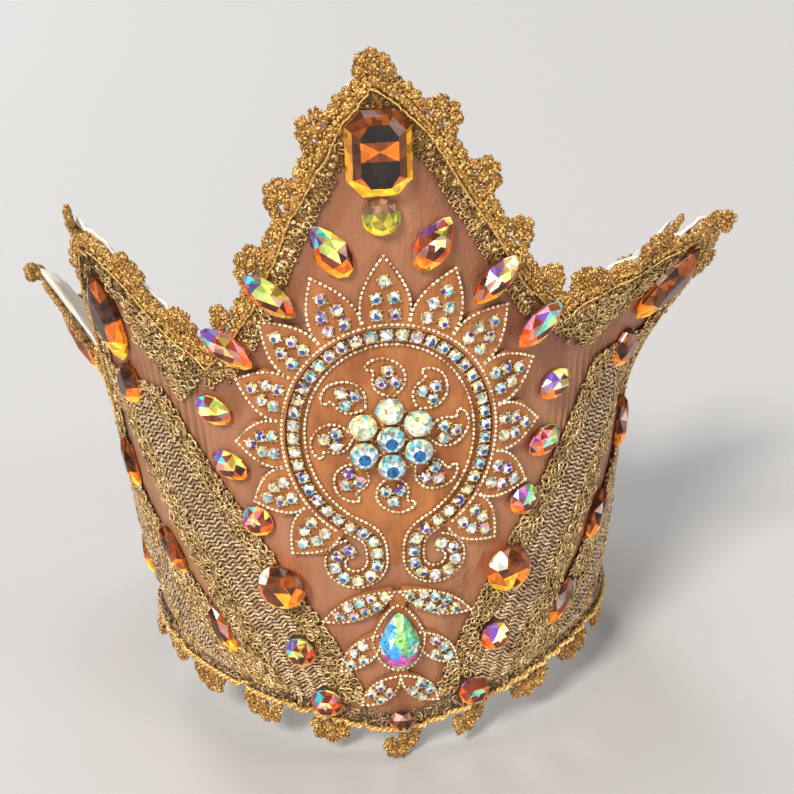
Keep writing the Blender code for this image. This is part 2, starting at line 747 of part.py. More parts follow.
def build_sun_rays(material):
    """A belt round the ring with a row of pointed rays, as one raised piece."""
    inner = RING_INNER_GAP
    belt = inner + RAY_BELT
    step_angle = RAY_SPAN / RAYS
    sheet = bmesh.new()

    def corner(angle, grow):
        spot = ring_point(angle, grow)
        return sheet.verts.new((spot.x, spot.y, 0.0))

    marks = [-0.5 * RAY_SPAN + 0.5 * step_angle * index for index in range(2 * RAYS + 1)]
    inside = [corner(angle, inner) for angle in marks]
    outside = [corner(angle, belt) for angle in marks]
    for index in range(2 * RAYS):
        sheet.faces.new((inside[index], inside[index + 1], outside[index + 1], outside[index]))
    for ray in range(RAYS):
        left, middle, right = outside[2 * ray: 2 * ray + 3]
        angle = marks[2 * ray + 1]
        gain = 1.0 + RAY_TOP_GAIN * max(0.0, math.cos(angle * DEGREE))
        gain -= RAY_SIDE_LOSS * abs(math.sin(angle * DEGREE))
        tip = corner(angle, belt + RAY_LENGTH * gain)
        flank_left = corner(angle - 0.40 * step_angle, belt + 0.40 * RAY_REACH)
        flank_right = corner(angle + 0.40 * step_angle, belt + 0.40 * RAY_REACH)
        sheet.faces.new((left, middle, tip, flank_left))
        sheet.faces.new((middle, right, flank_right, tip))
    grown = bmesh.ops.extrude_face_region(sheet, geom=sheet.faces[:])
    lifted = [item for item in grown["geom"] if isinstance(item, bmesh.types.BMVert)]
    bmesh.ops.translate(sheet, verts=lifted, vec=(0.0, 0.0, RAY_THICKNESS))
    place_on_front(sheet)
    return finish_object("sun_rays", sheet, material)


def flat_plate(points, thickness):
    """A flat prism of an outline, as a mesh object for a union."""
    plate = bmesh.new()
    face = plate.faces.new([plate.verts.new((x, y, 0.0)) for x, y in points])
    grown = bmesh.ops.extrude_face_region(plate, geom=[face])
    lifted = [item for item in grown["geom"] if isinstance(item, bmesh.types.BMVert)]
    bmesh.ops.translate(plate, verts=lifted, vec=(0.0, 0.0, thickness))
    bmesh.ops.recalc_face_normals(plate, faces=plate.faces)
    mesh = bpy.data.meshes.new("plate")
    plate.to_mesh(mesh)
    plate.free()
    thing = bpy.data.objects.new("plate", mesh)
    bpy.context.collection.objects.link(thing)
    return thing


def union_mesh(things):
    """The union of some mesh objects as one mesh, with the objects removed."""
    first = things[0]
    for other in things[1:]:
        modifier = first.modifiers.new("union", "BOOLEAN")
        modifier.operation = "UNION"
        modifier.solver = "EXACT"
        modifier.object = other
    bpy.context.view_layer.update()
    evaluated = first.evaluated_get(bpy.context.evaluated_depsgraph_get())
    joined = bmesh.new()
    joined.from_mesh(evaluated.to_mesh())
    for thing in things:
        bpy.data.objects.remove(thing, do_unlink=True)
    return joined


def leaf_outline(leaf, side):
    """A leaf with a blunt base and a pointed tip, in front coordinates."""
    base = Vector((SUN_HALF_WIDTH * leaf.base_across, leaves_height(leaf.base_up)))
    tip = Vector((SUN_HALF_WIDTH * leaf.tip_across, leaves_height(leaf.tip_up)))
    along = tip - base
    out = Vector((-along.y, along.x)).normalized() * leaf.half_width
    profile = ((0.0, 0.45), (0.30, 0.95), (0.62, 0.92), (1.0, 0.0), (0.62, -0.92),
               (0.30, -0.95), (0.0, -0.45))
    points = [base + along * share + out * width for share, width in profile]
    return [(side * point.x, point.y) for point in points]


def build_leaf_sprays(material):
    """The spine, the frame below the pear stone and three pairs of leaves, as one piece."""
    cut = CUTS["pear"]
    half = 0.5 * LEAF_SPINE
    top = leaves_height(LEAVES[0].base_up)
    bottom = leaves_height(LEAVES[-1].base_up) - LEAF_SPINE
    spine = [(-half, bottom), (half, bottom), (half, top), (-half, top)]
    frame = []
    for step in range(12):
        angle = 2.0 * math.pi * step / 12
        across = (0.5 * cut.width + PEAR_FRAME) * math.cos(angle)
        up = (0.5 * cut.length + PEAR_FRAME) * math.sin(angle)
        frame.append((across, leaves_height(PEAR_UP) + up))
    outlines = [frame, spine]
    for side in (-1.0, 1.0):
        for leaf in LEAVES:
            outlines.append(leaf_outline(leaf, side))
    spray = union_mesh([flat_plate(outline, SETTING_THICKNESS) for outline in outlines])
    folds = int(SUN_HALF_WIDTH * LEAVES[0].tip_across / FOLD_PITCH)
    for fold in range(-folds, folds + 1):
        geometry = spray.verts[:] + spray.edges[:] + spray.faces[:]
        bmesh.ops.bisect_plane(spray, geom=geometry, dist=0.000001,
                               plane_co=(FOLD_PITCH * fold, 0.0, 0.0), plane_no=(1.0, 0.0, 0.0))
    for vert in spray.verts:
        x, y, z = vert.co
        vert.co = off_front(x, y, LACE_GAP + z)
    return finish_object("leaf_sprays", spray, material)


def build_cluster(material):
    """Seven round stones in a flower, fused to the round seat that holds them."""
    across, up, outward, base = seat_frame(0.0, MOTIF_HEIGHT, 0.0)
    cut = Cut("round", CLUSTER_STONE, CLUSTER_STONE, CLUSTER_STONE_HEIGHT, 0.52)
    pitch = CLUSTER_STONE + CLUSTER_SPACE
    reach = pitch + 0.42 * CLUSTER_STONE
    seat = [(reach * math.cos(math.pi * step / 6), reach * math.sin(math.pi * step / 6))
            for step in range(12)]
    pieces = [flat_plate(seat, SETTING_THICKNESS)]
    places = [(0.0, 0.0)]
    for step in range(6):
        angle = math.pi * (step / 3 + 1 / 6)
        places.append((pitch * math.cos(angle), pitch * math.sin(angle)))
    for x, y in places:
        body = stone_mesh(cut)
        bmesh.ops.translate(body, verts=body.verts, vec=(x, y, 0.5 * SETTING_THICKNESS))
        bmesh.ops.recalc_face_normals(body, faces=body.faces)
        pieces.append(finish_object("stone", body, material))
    flower = union_mesh(pieces)
    lift = SEAT_GAP + seat_lift(seat, (across, up, outward, base))
    for vert in flower.verts:
        x, y, z = vert.co
        vert.co = base + across * x + up * y + outward * (z + lift)
    return finish_object("stone_cluster", flower, material)


def build():
    clear_scene()
    satin = make_material("satin", (0.55, 0.34, 0.23), 0.45, 0.0)
    gold_lace = make_material("gold_lace", (0.62, 0.46, 0.20), 0.35, 0.9)
    amber = make_material("amber_stone", (0.60, 0.22, 0.03), 0.05, 0.0)
    aurora = make_material("aurora_stone", (0.70, 0.40, 0.30), 0.05, 0.0)
    crystal = make_material("crystal_stone", (0.80, 0.82, 0.85), 0.04, 0.0)
    beadwork = make_material("beadwork", (0.72, 0.62, 0.50), 0.30, 0.0)
    build_wall(satin)
    build_edge_lace(gold_lace)
    build_rim_lace(gold_lace)
    for band in BANDS:
        for label, side in (("left", -1.0), ("right", 1.0)):
            build_band(f"lace_band_{band.name}_{label}", gold_lace, band, side)
    build_band("lace_band_back", gold_lace, BACK_BAND, 1.0)
    build_stones(amber, aurora, crystal)
    build_stone_string(crystal)
    build_sun_rays(beadwork)
    build_leaf_sprays(beadwork)
    build_cluster(crystal)


build()
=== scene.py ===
# The looks of the satin crown: satin and lining, knotted gold lace, cut stones and beadwork.
# Metres, +Z up, front facing -Y. A place on the wall is an azimuth, 0 at the front and + towards
# +X, with a height, and a place on the front panel is a length across and a height.
import functools
import json
import math
import random

import bmesh
import bpy
import numpy as np
from mathutils import Matrix, Vector, noise
from mathutils.bvhtree import BVHTree


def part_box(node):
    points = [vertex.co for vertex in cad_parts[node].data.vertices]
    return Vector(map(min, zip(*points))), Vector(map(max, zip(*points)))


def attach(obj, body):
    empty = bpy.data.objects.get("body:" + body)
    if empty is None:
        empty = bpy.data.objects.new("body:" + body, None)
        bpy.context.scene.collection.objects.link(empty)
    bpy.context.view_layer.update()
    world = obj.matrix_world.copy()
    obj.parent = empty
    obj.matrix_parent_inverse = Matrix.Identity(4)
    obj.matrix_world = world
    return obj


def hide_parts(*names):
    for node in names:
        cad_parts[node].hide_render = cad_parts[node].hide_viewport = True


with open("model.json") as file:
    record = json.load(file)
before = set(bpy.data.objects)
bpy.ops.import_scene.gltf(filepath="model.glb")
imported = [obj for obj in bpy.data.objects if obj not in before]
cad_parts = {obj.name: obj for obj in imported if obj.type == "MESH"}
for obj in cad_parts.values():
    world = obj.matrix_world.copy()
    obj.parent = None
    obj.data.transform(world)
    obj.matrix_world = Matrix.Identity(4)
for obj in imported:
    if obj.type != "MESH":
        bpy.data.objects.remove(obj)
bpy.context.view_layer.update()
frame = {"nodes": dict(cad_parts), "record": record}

DEGREE = math.pi / 180.0
UP = Vector((0.0, 0.0, 1.0))
SIDES = (("left", -1.0), ("right", 1.0))
MERGE_DISTANCE = 0.00001
FINE_MERGE_DISTANCE = 0.000001

# Wall: one column for each degree, a level below every valley and a height above every tip
WALL_COLUMNS = 360
WALL_ROWS = 36
WALL_RADIUS = 0.118
WALL_LEVEL = 0.045
ABOVE_CROWN = 0.300
ROW_CROWDING = 0.9
SMOOTHING_ROUNDS = 10
LOOK_REACH = 0.3
SEARCH_STEPS = 18
WALL_MARGIN = 0.0004
CAD_WALL_MARGIN = 0.0006
EDGE_PARTS = 48
EDGE_SPAN = 0.7
EDGE_INSET = 0.004
RIM_INSET = 0.001

# Satin and lining
SATIN_THICKNESS = 0.0023
SATIN_LIFT = 0.0001
SATIN_SIDE = 0.35
LACE_SHADOW = 0.012
LACE_SHADOW_DEPTH = 0.62
LINING_COLUMNS = 720
LINING_REACH = 0.0026
LINING_WAVE = 0.0006

# Rows of the lining's edge: how far each stands above the wall's edge, as a share of the reach,
# or below it in metres where that is less than zero, and how far inwards it lies, in metres.
LINING_ROWS = ((-0.0030, 0.0004), (0.4, 0.0004), (1.0, 0.0006), (1.0, 0.0014), (0.4, 0.0017),
               (-0.0030, 0.0017))

# Gathers of the satin under the side petals: middle and half width of the gathered place, in
# degrees and in metres below the top edge, and pitch, bend, height and painted shade of the folds
GATHER_AZIMUTH = (47.0, 13.0)
GATHER_DEPTH = (0.050, 0.034)
GATHER_GAIN = 1.6
FOLD_PITCH = 2.1
FOLD_BEND = 9.0
FOLD_HEIGHT = 0.17
FOLD_SHADE = 0.12
CREASE_HEIGHT = 0.20
WEAVE_HEIGHT = 0.05

# Stitches, knots, loops and lobes of the lace. A pair is the least and the most of a draw.
STITCH = (0.00080, 0.00056, 0.00050)
STITCH_SIZES = (0.88, 1.14)
KNOT_CORD_SHARE = 0.36
KNOT_RADIUS = 0.00125
KNOT_SIZES = (0.85, 1.12)
KNOT_SQUASH = (0.75, 1.0)
LOOP_CORD_SHARE = 0.27
LOOP_RADII = (0.0012, 0.0018)
LOOP_SQUASH = (0.70, 1.0)
HEART_FLATNESS = 0.62
# Tone of a lobe's heart: painted shade between its stitches.
HEART_SHADE = 0.36
LOBE_STITCHES = 15
LOBE_STITCH_SIZE = 1.15
LOBE_STITCH_SPREAD = 1.05
LOBE_LIFT = 0.0012
GOLDEN_TURN = 2.39996

# The ground is real thread, painted dark as shade between the knots.
# Lumpy ground under the lace: its lift, its lumps, how steeply it rises from its borders, the
# sizes of its lumps and of its spots, where it starts above the edge, and its columns and rows
GROUND_LIFT = 0.0002
LUMP_HEIGHT = 0.0005
GROUND_SLOPE = 6.0
BAND_SLOPE = 7.0
PETAL_SLOPE = 9.0
EDGE_LUMPS = (0.0016, 0.0022)
BAND_LUMPS = (0.0018, 0.0024)
GROUND_START = 0.0004
EDGE_GROUND = (1080, 9)
RIM_GROUND = (540, 7)
BAND_GROUND = (90, 20)
PETAL_GROUND = (70, 14)

# Lace of the top edge: picots, a rope of stitches, a fine cord and a braid of knots under them
TIP_PICOT_DROP = 0.0026
# Painted shade under each petal's tip: the braid's darkest tone there and how far it reaches.
TIP_SHADE = 0.26
DARK_TIP_REACH = 0.042
EDGE_ROPE = 0.0042
ROPE_PITCH = 0.00150
ROPE_ROWS = 3
ROPE_LIFT = 0.0020
ROPE_BULGE = 0.0006
EDGE_CORD = 0.00042
EDGE_CORD_STEPS = 900
EDGE_CORD_GAP = 0.0004
EDGE_CORD_LIFT = 0.0026
EDGE_CORD_WAVE = 0.0005
EDGE_CORD_WAVE_TURN = 0.21
# A groove between the rope and the braid, painted dark as shade: its width and its tone.
GROOVE = 0.0014
GROOVE_SHADE = 0.12
EDGE_BRAID = 0.0105
BRAID_GAP = 0.0012
BRAID_PITCH = 0.00225
BRAID_ROWS = 3
BRAID_ROW = 0.0016
BRAID_LIFT = 0.0014
BORDER_INSET = 0.0006
BORDER_LIFT = 0.0011
STEEPEST_BRAID = 1.9

# Lace of the rim: picots, a braid of knots, a row of stitches and a cord of two strands
RIM_PICOTS = 21
RIM_PICOT_SCALE = 1.15
RIM_BRAID = 0.0085
RIM_COLUMNS = 290
RIM_ROWS = 4
RIM_ROW_START = 0.0032
RIM_ROW = 0.0015
RIM_STITCHES = 380
RIM_STITCH_LIFT = 0.0020
RIM_STITCH_RISE = 0.0004
RIM_CORD = 0.0011
RIM_CORD_TURNS = 130
RIM_CORD_TURN_STEPS = 7
RIM_CORD_LIFT = 0.0034
RIM_CORD_HEIGHT = 0.0020
STRAND_OFFSET = 0.55
STRAND_RADIUS = 0.62

# Curled lace: its kinds of thread with their pitches, from the top one down
CURLED_LACE = (("loop", 0.0027), ("knot", 0.0022))
CURL_LIFTS = (0.0011, 0.0016)
LOOP_RISE = 0.0005
PETAL_LACE = 0.0125
PETAL_LACE_SPAN = (38.5, 58.0)
PETAL_LACE_OVERLAP = 0.0012

# Bands of ribbed lace: the ribs run from one share of the half width to the other
BAND_HALF_ANGLE = 11.0
BAND_RADIUS = 0.100
BAND_FOOT = 0.0275
BAND_BEND_GAIN = 1.06
BAND_STEP = 0.02
BAND_RIBS = (-0.44, 0.62)
BAND_GROUND_INSET = 0.10
BAND_EDGE_INSET = 0.05
FRONT_BAND_TOP = 0.013
RIB_PITCH = 0.00175
RIB_COLUMNS = 6
RIB_LIFT = 0.0015
RIB_STEP = 0.0002
RIB_TURN = 0.40
RIB_OVERLAP = 1.35
RIB_THREAD = (0.00066, 0.00062)

# Lobes of a picot in metres: along the edge, away from it, and radius.
LOBES = (
    (-0.0052, 0.0026, 0.0023),
    (-0.0038, 0.0060, 0.0023),
    (0.0000, 0.0074, 0.0024),
    (0.0038, 0.0059, 0.0023),
    (0.0053, 0.0025, 0.0022),
    (0.0000, 0.0034, 0.0026),
)

# Small lobes between two picots: along as a share of the gap, away from the edge, and radius.
SMALL_LOBES = ((0.30, 0.0010, 0.0018), (0.43, 0.0016, 0.0016), (0.57, 0.0012, 0.0019),
               (0.70, 0.0010, 0.0017))

# Sun motif: ring, scrolls and their string of stones
MOTIF_HEIGHT = 0.1433
RING_HALF_WIDTH = 0.0335
RING_HALF_HEIGHT = 0.0395
RING_OPENING = 25.0
RING_STEPS = 60
BEND_STEPS = 12
STRING_STONE = 0.0048
STRING_PITCH = 0.0052
STRING_LIFT = 0.0015
SCROLL_RADIUS = 0.0085
SCROLL_OFFSET = 0.0150
SCROLL_DROP = 0.0510
SCROLL_TURN = 1.42 * math.pi
SCROLL_NARROWING = 0.30
SCROLL_STEPS = 24

# Rays: how far out their belt lies, their length and lift, and their stones, each with a share
# of the ray's length out and a share of its step aside
RAYS = 13
RAY_SPAN = 302.0
RAY_BELT_INNER = 0.0031
RAY_BELT = 0.0030
RAY_LENGTH = 0.0195
RAY_FLANK = 0.0090
RAY_FOOT = 0.485
RAY_WAIST = 0.36
RAY_TIP_GAP = 0.0004
RAY_TOP_GAIN = 0.18
RAY_SIDE_LOSS = 0.20
RAY_LIFT = 0.0026
RAY_STONES = ((0.60, 0.0), (0.34, -0.15), (0.34, 0.15), (0.08, -0.18), (0.08, 0.18))
RAY_STONE_TURN = 0.7

# Small stones with their claws, and seed beads
SMALL_STONE = 0.0046
SMALL_STONE_SINK = 0.0003
CLAW = (0.00072, 0.00050, 0.00050)
CLAW_LIFT = 0.0010
SEED_BEAD = (0.00084, 0.00058, 0.00058)
SEED_PITCH = 0.00182
LINE_LIFT = 0.0012
LINE_PITCH = 0.0015
CURVE_STEPS = 12
LINE_SPLIT = 57
RING_LINES = ((0.0040, RAY_LIFT), (-0.0038, LINE_LIFT))
SCROLL_LINES = (0.0036, -0.0036)

# Trefoils: in an upright oval, each an outline of beads, aside and out from its middle in
# metres, round three stones
TREFOILS = 8
TREFOIL_RADIUS = 0.0218
TREFOIL_RING = (0.92 * TREFOIL_RADIUS, 1.05 * TREFOIL_RADIUS)
TREFOIL_SPREAD = 0.0028
TREFOIL_LIFT = 0.0009
TREFOIL_OUTLINE = ((0.0018, -0.0068), (0.0052, -0.0030), (0.0056, 0.0018), (0.0030, 0.0056),
                   (-0.0016, 0.0078), (-0.0062, 0.0066), (-0.0078, 0.0040), (-0.0050, 0.0030),
                   (-0.0054, -0.0014), (-0.0038, -0.0048), (-0.0004, -0.0068))

# Cluster of seven stones in the middle
CLUSTER_STONE = 0.0102
CLUSTER_GAP = 0.0008
CLUSTER_LIFT = 0.0006
CLUSTER_CLAW = 0.0005
CLUSTER_CLAW_LIFT = 0.0022
CLUSTER_CLAW_REACH = 0.54

# Ground of the sun motif: columns and rows, and the strips of it under the scrolls
MOTIF_GROUND = (72, 10)
MOTIF_GROUND_REACH = 0.0028
MOTIF_GROUND_DIP = 0.012
MOTIF_GROUND_LIFT = 0.0003
SCROLL_GROUND_START = 55
SCROLL_GROUND_PITCH = 0.0012
SCROLL_GROUND_ROWS = 4
SCROLL_GROUND_WIDTH = 0.0076
SCROLL_GROUND_LIFT = 0.0005

# One row for each petal: its valley, its tip and its far valley, and the picots of its edges.
PETALS = (
    (-160, -140, -120, 2, 2),
    (-120, -100, -80, 4, 3),
    (-80, -60, -36, 4, 3),
    (-36, 0, 38, 5, 5),
    (38, 60, 80, 3, 4),
    (80, 100, 120, 3, 4),
    (120, 140, 160, 2, 2),
    (160, 180, 200, 2, 2),
)

# One row for each pair of bands of ribbed lace: its node, the azimuths of its top and its foot,
# its bend, and how far its knots reach in front and behind, as shares of its half width.
BANDS = (
    ("lace_band_front", 61.0, 20.0, 1.30, -1.12, 1.42),
    ("lace_band_side", 87.0, 45.0, 1.15, -1.52, 1.20),
    ("lace_band_back_side", 138.0, 112.0, 1.00, -1.15, 1.15),
)
BACK_BAND = ("lace_band_back", 180.0, 180.0, 1.00, -1.10, 1.10)

# One row for each pair of leaves: base and tip, across and up in metres, and half width.
LEAVES = (
    (0.0010, 0.0791, 0.0270, 0.0660, 0.0048),
    (0.0060, 0.0600, 0.0215, 0.0430, 0.0050),
    (0.0000, 0.0400, 0.0140, 0.0262, 0.0046),
)
LEAF_LIFT = 0.0024
LEAF_BULGE = 0.92
LEAF_STONE_SHARE = 0.94
LEAF_STONE_TURN = 0.3
LEAF_STONE_PITCH = 0.0047
LEAF_STONE_ENDS = (0.0036, 0.0050)
LEAF_FULLNESS = 3.6
LEAF_PAIR_WIDTH = 0.0032
LEAF_PAIR_OFFSET = 0.00215
LEAF_MIDDLE_GAP = 0.0030

# Pear stone under the sun: the half width and half height of its frame of beads, and of the
# place round it that stays free of leaf stones
PEAR_HEIGHT = 0.0580
PEAR_FRAME = (0.0094, 0.0150)
PEAR_FRAME_STEPS = 40
PEAR_NARROWING = 0.42
PEAR_PLACE = (0.0115, 0.0165)

# Cut stones: how much longer than wide a stone is that turns with its length, how much narrower
# and how near the place that it covers is, and how high on a stone its facets count as the
# table, or on a clear stone as the table and the star
LONG_STONE = 1.15
STONE_MARGIN = 0.0009
STONE_REACH = 0.006
TABLE_LEVEL = 0.999
CLEAR_TABLE = 0.99
CLEAR_STAR = 0.55

# Lines that cut the tables: a place on each line and its turn in degrees.
STEP_LINES = (((0.0, 0.34), 0.0), ((0.0, -0.10), 0.0), ((0.0, 0.12), 24.0), ((0.0, 0.12), -24.0))
ROUND_LINES = (((0.0, 0.06), 8.0), ((0.05, -0.12), 64.0), ((-0.10, 0.0), -52.0))

# Colours of the facets of the stones: their own, and painted reflections, highlights and shade
AMBER_DARK = (0.012, 0.007, 0.005)
AMBER_BROWN = (0.085, 0.022, 0.006)
AMBER_RUST = (0.300, 0.062, 0.008)
AMBER_ORANGE = (0.800, 0.180, 0.006)
AMBER_YELLOW = (0.980, 0.520, 0.012)
AMBER_PALE = (1.000, 0.780, 0.160)
OLIVE_DARK = (0.090, 0.060, 0.018)
OLIVE_GREEN = (0.560, 0.620, 0.060)
PINK_BROWN = (0.360, 0.170, 0.130)
TOPAZ_DARK = (0.050, 0.010, 0.008)
TOPAZ_BROWN = (0.200, 0.040, 0.016)
TOPAZ_RED = (0.760, 0.080, 0.008)
TOPAZ_ORANGE = (0.960, 0.270, 0.012)
TOPAZ_YELLOW = (1.000, 0.620, 0.050)
SHEEN_TEAL = (0.060, 0.480, 0.480)
SHEEN_GREEN = (0.400, 0.640, 0.140)
SHEEN_GOLD = (0.840, 0.680, 0.120)
SHEEN_ROSE = (0.860, 0.240, 0.300)
SHEEN_PURPLE = (0.160, 0.060, 0.300)
SHEEN_PALE = (0.900, 0.840, 0.660)
CLEAR_WHITE = (0.800, 0.800, 0.770)
CLEAR_CREAM = (0.820, 0.720, 0.360)
CLEAR_CYAN = (0.200, 0.600, 0.680)
CLEAR_GREY = (0.380, 0.420, 0.440)
CLEAR_BLUE = (0.020, 0.130, 0.340)
CLEAR_PURPLE = (0.130, 0.050, 0.340)
CLEAR_ROSE = (0.700, 0.300, 0.400)
CLEAR_SHADE = (0.150, 0.085, 0.045)
PEAR_BLUE = (0.012, 0.400, 0.860)
PEAR_TEAL = (0.070, 0.500, 0.420)
PEAR_GREEN = (0.340, 0.880, 0.160)
PEAR_ROSE = (0.700, 0.080, 0.420)
PEAR_VIOLET = (0.240, 0.160, 0.560)

# Sheens of the shimmering stones: two colours over the table and one at the sides.
SHEENS = (
    (SHEEN_GREEN, SHEEN_GOLD, SHEEN_TEAL),
    (SHEEN_PALE, SHEEN_GOLD, SHEEN_PURPLE),
    (SHEEN_ROSE, SHEEN_GOLD, SHEEN_TEAL),
    (SHEEN_TEAL, SHEEN_GREEN, SHEEN_ROSE),
)

# Camera, fitted to the photograph
CAMERA_DISTANCE = 0.68
CAMERA_ELEVATION = 24.0
CAMERA_YAW = 3.5
CAMERA_ROLL = -3.0
CAMERA_AIM = 0.12
CAMERA_SENSOR = 36.0
CAMERA_LENS = 75.53
CAMERA_SHIFT = (0.03485, -0.02341)

# Studio: floor, world and lights, each light with its way in, its spread in degrees, its power
# and its colour
FLOOR_HALF = 14.0
FLOOR_DROP = 0.0002
FLOOR_ROUGHNESS = 0.7
FLOOR_COLOUR = (0.47, 0.46, 0.45, 1.0)
WORLD_COLOUR = (0.80, 0.82, 0.85, 1.0)
WORLD_STRENGTH = 0.24
LIGHTS = (
    ("key", (-0.50, -0.78, 0.82), 16.0, 3.45, (1.0, 0.96, 0.93)),
    ("fill", (0.85, -0.63, 0.32), 30.0, 0.70, (1.0, 0.99, 0.94)),
    ("low", (0.10, -1.08, 0.09), 21.0, 0.70, (1.0, 0.98, 0.95)),
    ("overhead", (0.0, 0.0, 1.0), 40.0, 1.15, (1.0, 1.0, 1.0)),
    ("back", (-0.30, 0.92, 0.47), 20.0, 1.20, (0.95, 0.97, 1.0)),
)


# Places on the wall

opening = frame["record"]["physics"]["openings"][0]["box_m"]
AXIS_Y = 0.5 * (opening[0][1] + opening[1][1])


def outward(azimuth):
    return Vector((math.sin(azimuth * DEGREE), -math.cos(azimuth * DEGREE), 0.0))


def azimuth_of(spot):
    return math.atan2(spot.x, AXIS_Y - spot.y) / DEGREE


def from_axis(spot):
    """The level line from the crown's axis to a place."""
    return Vector((spot.x, spot.y - AXIS_Y, 0.0))


def tree_of(thing):
    corners = [vert.co for vert in thing.data.vertices]
    return BVHTree.FromPolygons(corners, [tuple(face.vertices) for face in thing.data.polygons])


def look_in(tree, azimuth, height):
    """Where a level line from outside meets a shape: the point and its normal, or None."""
    out = outward(azimuth)
    start = Vector((0.0, AXIS_Y, height)) + out * LOOK_REACH
    point, normal, index, distance = tree.ray_cast(start, -out, LOOK_REACH)
    return (point, normal) if point is not None else None


def find_limit(tree, azimuth, inside, outside):
    """Height of an edge between a height on the wall and one past it."""
    for step in range(SEARCH_STEPS):
        middle = 0.5 * (inside + outside)
        if look_in(tree, azimuth, middle):
            inside = middle
        else:
            outside = middle
    return inside


cad_wall = tree_of(frame["nodes"]["crown_wall"])
EDGE_LOW = [find_limit(cad_wall, azimuth, WALL_LEVEL, 0.0) for azimuth in range(WALL_COLUMNS)]
EDGE_TOP = [find_limit(cad_wall, azimuth, WALL_LEVEL, ABOVE_CROWN)
            for azimuth in range(WALL_COLUMNS)]


def between_degrees(values, azimuth):
    index = math.floor(azimuth)
    share = azimuth - index
    first = values[index % WALL_COLUMNS]
    second = values[(index + 1) % WALL_COLUMNS]
    return first * (1.0 - share) + second * share


def edge_top(azimuth):
    return between_degrees(EDGE_TOP, azimuth)


def edge_low(azimuth):
    return between_degrees(EDGE_LOW, azimuth)


def outer_sheet():
    """The wall's outer face as one fine sheet, with its facets smoothed away."""
    sheet = bmesh.new()
    bmesh.ops.create_grid(sheet, x_segments=WALL_COLUMNS, y_segments=WALL_ROWS, size=0.5)
    for vert in sheet.verts:
        azimuth = round((vert.co.x + 0.5) * WALL_COLUMNS) % WALL_COLUMNS
        share = (round((vert.co.y + 0.5) * WALL_ROWS) / WALL_ROWS) ** ROW_CROWDING
        low = EDGE_LOW[azimuth]
        high = EDGE_TOP[azimuth]
        vert.co = look_in(cad_wall, azimuth, low + (high - low) * share)[0]
    bmesh.ops.remove_doubles(sheet, verts=sheet.verts, dist=MERGE_DISTANCE)
    inner = [vert for vert in sheet.verts if not vert.is_boundary]
    for step in range(SMOOTHING_ROUNDS):
        bmesh.ops.smooth_vert(sheet, verts=inner, factor=0.5,
                              use_axis_x=True, use_axis_y=True, use_axis_z=True)
    face_out(sheet)
    for vert in sheet.verts:
        vert.co += from_axis(vert.co).normalized() * SATIN_LIFT
    return sheet


def face_out(sheet):
    """Turns an open sheet so that its faces look away from the crown's axis."""
    bmesh.ops.recalc_face_normals(sheet, faces=sheet.faces)
    total = 0.0
    for face in sheet.faces:
        out = from_axis(face.calc_center_median())
        total += face.normal.dot(out) * face.calc_area()
    if total < 0.0:
        bmesh.ops.reverse_faces(sheet, faces=sheet.faces)


def put_in_scene(name, data):
    thing = bpy.data.objects.new(name, data)
    bpy.context.scene.collection.objects.link(thing)
    return thing


def add_thing(name, mesh, materials, smooth=True):
    """A new object with its materials, riding on the crown's one body."""
    for material in materials:
        mesh.materials.append(material)
    if smooth:
        mesh.shade_smooth()
    else:
        mesh.shade_flat()
    thing = put_in_scene(name, mesh)
    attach(thing, "root")
    return thing


def finish_mesh(name, shape, materials, smooth=True):
    mesh = bpy.data.meshes.new(name)
    shape.to_mesh(mesh)
    shape.free()
    return add_thing(name, mesh, materials, smooth)


satin_sheet = outer_sheet()
satin_tree = BVHTree.FromBMesh(satin_sheet)


def on_wall(azimuth, height, offset=0.0):
    """A point off the satin and the satin's normal there."""
    low = edge_low(azimuth) + WALL_MARGIN
    high = edge_top(azimuth) - WALL_MARGIN
    height = min(max(height, low), high)
    hit = look_in(satin_tree, azimuth, height)
    point, normal = hit or look_in(cad_wall, azimuth, height - CAD_WALL_MARGIN)
    return point + normal * offset, normal


def front_azimuth(across, height):
    point, normal = on_wall(0.0, height)
    return across / (AXIS_Y - point.y) / DEGREE


def on_front(across, height, offset=0.0):
    return on_wall(front_azimuth(across, height), height, offset)


def turned_to(along, away, normal):
    return Matrix((along, away, normal)).transposed().to_4x4()


def frame_on(point, normal, toward):
    """A matrix at a point with Z along a normal and Y as near as can be to a direction."""
    side = toward.cross(normal).normalized()
    return Matrix.Translation(point) @ turned_to(side, normal.cross(side).normalized(), normal)


def edge_point(azimuth):
    return on_wall(azimuth, edge_top(azimuth))[0]


@functools.lru_cache(maxsize=None)
def edge_frame(azimuth):
    """The top edge at an azimuth: its point, the way along it, away from it, and outward."""
    along = (edge_point(azimuth + EDGE_SPAN) - edge_point(azimuth - EDGE_SPAN)).normalized()
    point, normal = on_wall(azimuth, edge_top(azimuth) - EDGE_INSET)
    away = normal.cross(along).normalized()
    if away.z < 0.0:
        away.negate()
    out = along.cross(away).normalized()
    if out.dot(normal) < 0.0:
        out.negate()
    return edge_point(azimuth), along, away, out


def edge_stretch(azimuth):
    """How much longer a braid is upright than square to the top edge."""
    first = math.floor(azimuth) - 2
    heights = [EDGE_TOP[(first + step) % WALL_COLUMNS] for step in range(5)]
    rise = max(abs(b - a) for a, b in zip(heights, heights[1:]))
    run = WALL_RADIUS * DEGREE
    return min(math.hypot(1.0, rise / run), STEEPEST_BRAID)


def below_edge(azimuth, depth, lift):
    """A place on the satin at a depth below the top edge, measured square to the edge."""
    return on_wall(azimuth, edge_top(azimuth) - depth * edge_stretch(azimuth), lift)


